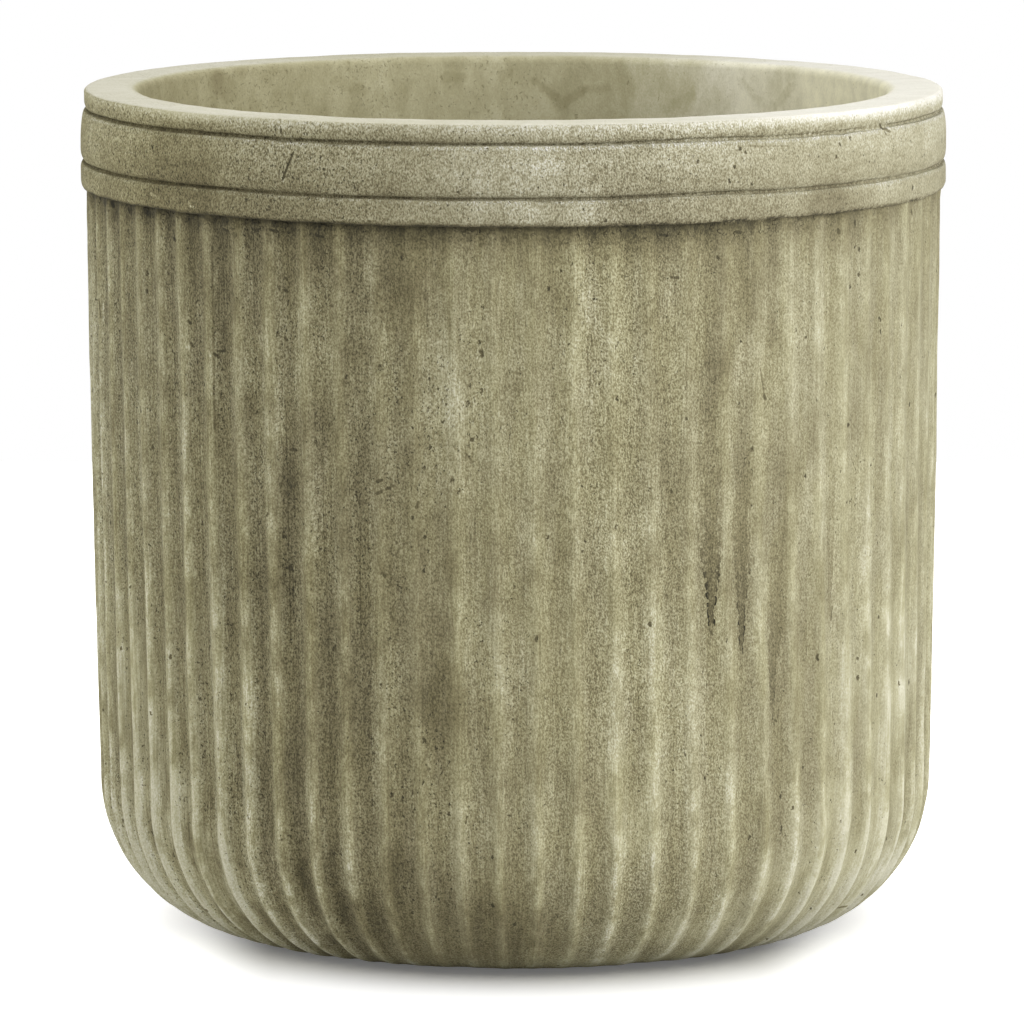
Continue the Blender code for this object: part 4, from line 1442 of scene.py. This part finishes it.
def rubber_finish(name, dust, roughness):
    """Dark rubber that greys in clouds, with a share `dust` of cement dust caught on its grain."""
    material, shader = new_material(name)
    position = use(round_the_pot, {}, material.node_tree)["Position"]
    greying, grain = noise(position, 0.006, 0.006, 4.0, 0.6), noise(position, 0.0006, 0.0006, 3.0, 0.6)
    colour = tint(fade(greying, 0.35, 0.7), RUBBER_BLACK, RUBBER_GREY)
    caught = fade(greying, 0.45, 0.75) * fade(grain, 0.40, 0.70)
    join(tint(caught * dust, colour, CEMENT_DUST), shader, "Base Color")
    join(fade(caught, 0.0, 1.0, roughness, 0.95), shader, "Roughness")
    join(added("Bump", {"Height": grain, "Strength": 0.25, "Distance": 0.0004}), shader, "Normal")
    return material


plug.data.materials.append(rubber_finish("plug rubber", 0.35, 0.55))
pad_rubber = rubber_finish("pad rubber", 0.60, 0.70)
for pad in pads:
    pad.data.materials.append(pad_rubber)
print("Rubber finishes: plug and pads")

# %% [markdown]
# ## Floor and light
#
# The planter stands on white, and the only shadow is the soft dark line at its foot. A lamp that shapes the
# pot would also throw a long shadow over the floor, so the lamps are shared out by light linking: three
# soft ones light the planter alone, and one very large one overhead lights the floor alone. Seen by the
# camera the floor is white. To light that bounces about it is a pale grey, which lifts the pot's foot.

# %% Floor
FLOOR_HALF = 1.6
FLOOR_GREY = (0.80, 0.80, 0.80, 1)
WHITE = (1, 1, 1, 1)
FLOOR_GLOW = 0.12
SIDE_GLOW = 0.40


def seen_directly(tree):
    """1 for rays from the camera and for mirrored or refracted ones, 0 for light that bounces about."""
    rays = node(tree, "LightPath").outputs
    shown = maths("MAXIMUM", Wire(rays["Is Camera Ray"]), Wire(rays["Is Glossy Ray"]))
    return maths("MAXIMUM", shown, Wire(rays["Is Transmission Ray"]))


def floor_material():
    """White and slightly glowing to the camera, pale grey to light that bounces about."""
    material, shader = new_material("floor")
    shown = seen_directly(material.node_tree)
    join(tint(shown, FLOOR_GREY, WHITE), shader, "Base Color")
    shader.inputs["Roughness"].default_value = 1.0
    shader.inputs["Specular IOR Level"].default_value = 0.0
    shader.inputs["Emission Color"].default_value = WHITE
    from_middle = Wire(node(material.node_tree, "TexCoord").outputs["Object"])
    aside = maths("ABSOLUTE", added("SeparateXYZ", {0: from_middle}))
    glow = fade(aside, 0.108, 0.150, FLOOR_GLOW, FLOOR_GLOW + SIDE_GLOW)
    join(shown * glow, shader, "Emission Strength")
    return material


floor_mesh = bpy.data.meshes.new("floor")
far = FLOOR_HALF
floor_mesh.from_pydata([(-far, -far, 0), (far, -far, 0), (far, far, 0), (-far, far, 0)], [], [(0, 1, 2, 3)])
floor = bpy.data.objects.new("floor", floor_mesh)
floor.location.z = cad_low.z
bpy.context.scene.collection.objects.link(floor)
floor_mesh.materials.append(floor_material())
print("Floor:", 2 * FLOOR_HALF, "m square")

# %% Sky and lamps
SKY_LEVEL = 0.38


def make_sky():
    """An even soft white sky that the camera sees as plain white."""
    world = bpy.data.worlds.new("soft white")
    bpy.context.scene.world = world
    world.use_nodes = True
    background = world.node_tree.nodes["Background"]
    join(SKY_LEVEL + seen_directly(world.node_tree) * (1 - SKY_LEVEL), background, "Strength")
    background.inputs["Color"].default_value = (1, 1, 1, 1)


def make_lamp(name, azimuth, elevation, distance, size, power):
    """A square soft light aimed at the planter's middle. Azimuth 0 is the front and 90 the right."""
    lamp = bpy.data.lights.new(name, "AREA")
    lamp.energy, lamp.size = power, size
    item = bpy.data.objects.new(name, lamp)
    bpy.context.scene.collection.objects.link(item)
    turn, lift = math.radians(azimuth), math.radians(elevation)
    x, y = math.sin(turn) * math.cos(lift), -math.cos(turn) * math.cos(lift)
    item.location = (distance * x, distance * y, RIM / 2 + distance * math.sin(lift))
    item.rotation_euler = (math.radians(90) - lift, 0, turn)
    return item


def link_lamps(lamps, name, state):
    """Gives lamps a collection that holds the floor: they light the floor alone, or all but the floor."""
    receivers = bpy.data.collections.new(name)
    receivers.objects.link(floor)
    receivers.collection_objects[0].light_linking.link_state = state
    for lamp in lamps:
        lamp.light_linking.receiver_collection = receivers


make_sky()
key = make_lamp("key", 58, 24, 1.9, 1.3, 36)
left = make_lamp("left", -80, 25, 1.9, 1.3, 9)
top = make_lamp("top", -20, 68, 1.9, 1.3, 12)
overhead = make_lamp("overhead", 0, 90, 1.5, 6.0, 165)
link_lamps([key, left, top], "all but the floor", "EXCLUDE")
link_lamps([overhead], "floor alone", "INCLUDE")
bpy.context.scene.view_settings.view_transform = "Standard"

# %% [markdown]
# ## The CAD box
#
# The box of all the imported solids is printed at the end.

# %% Print the CAD box
print("CAD box", [round(v, 4) for v in (*cad_low, *cad_high)])
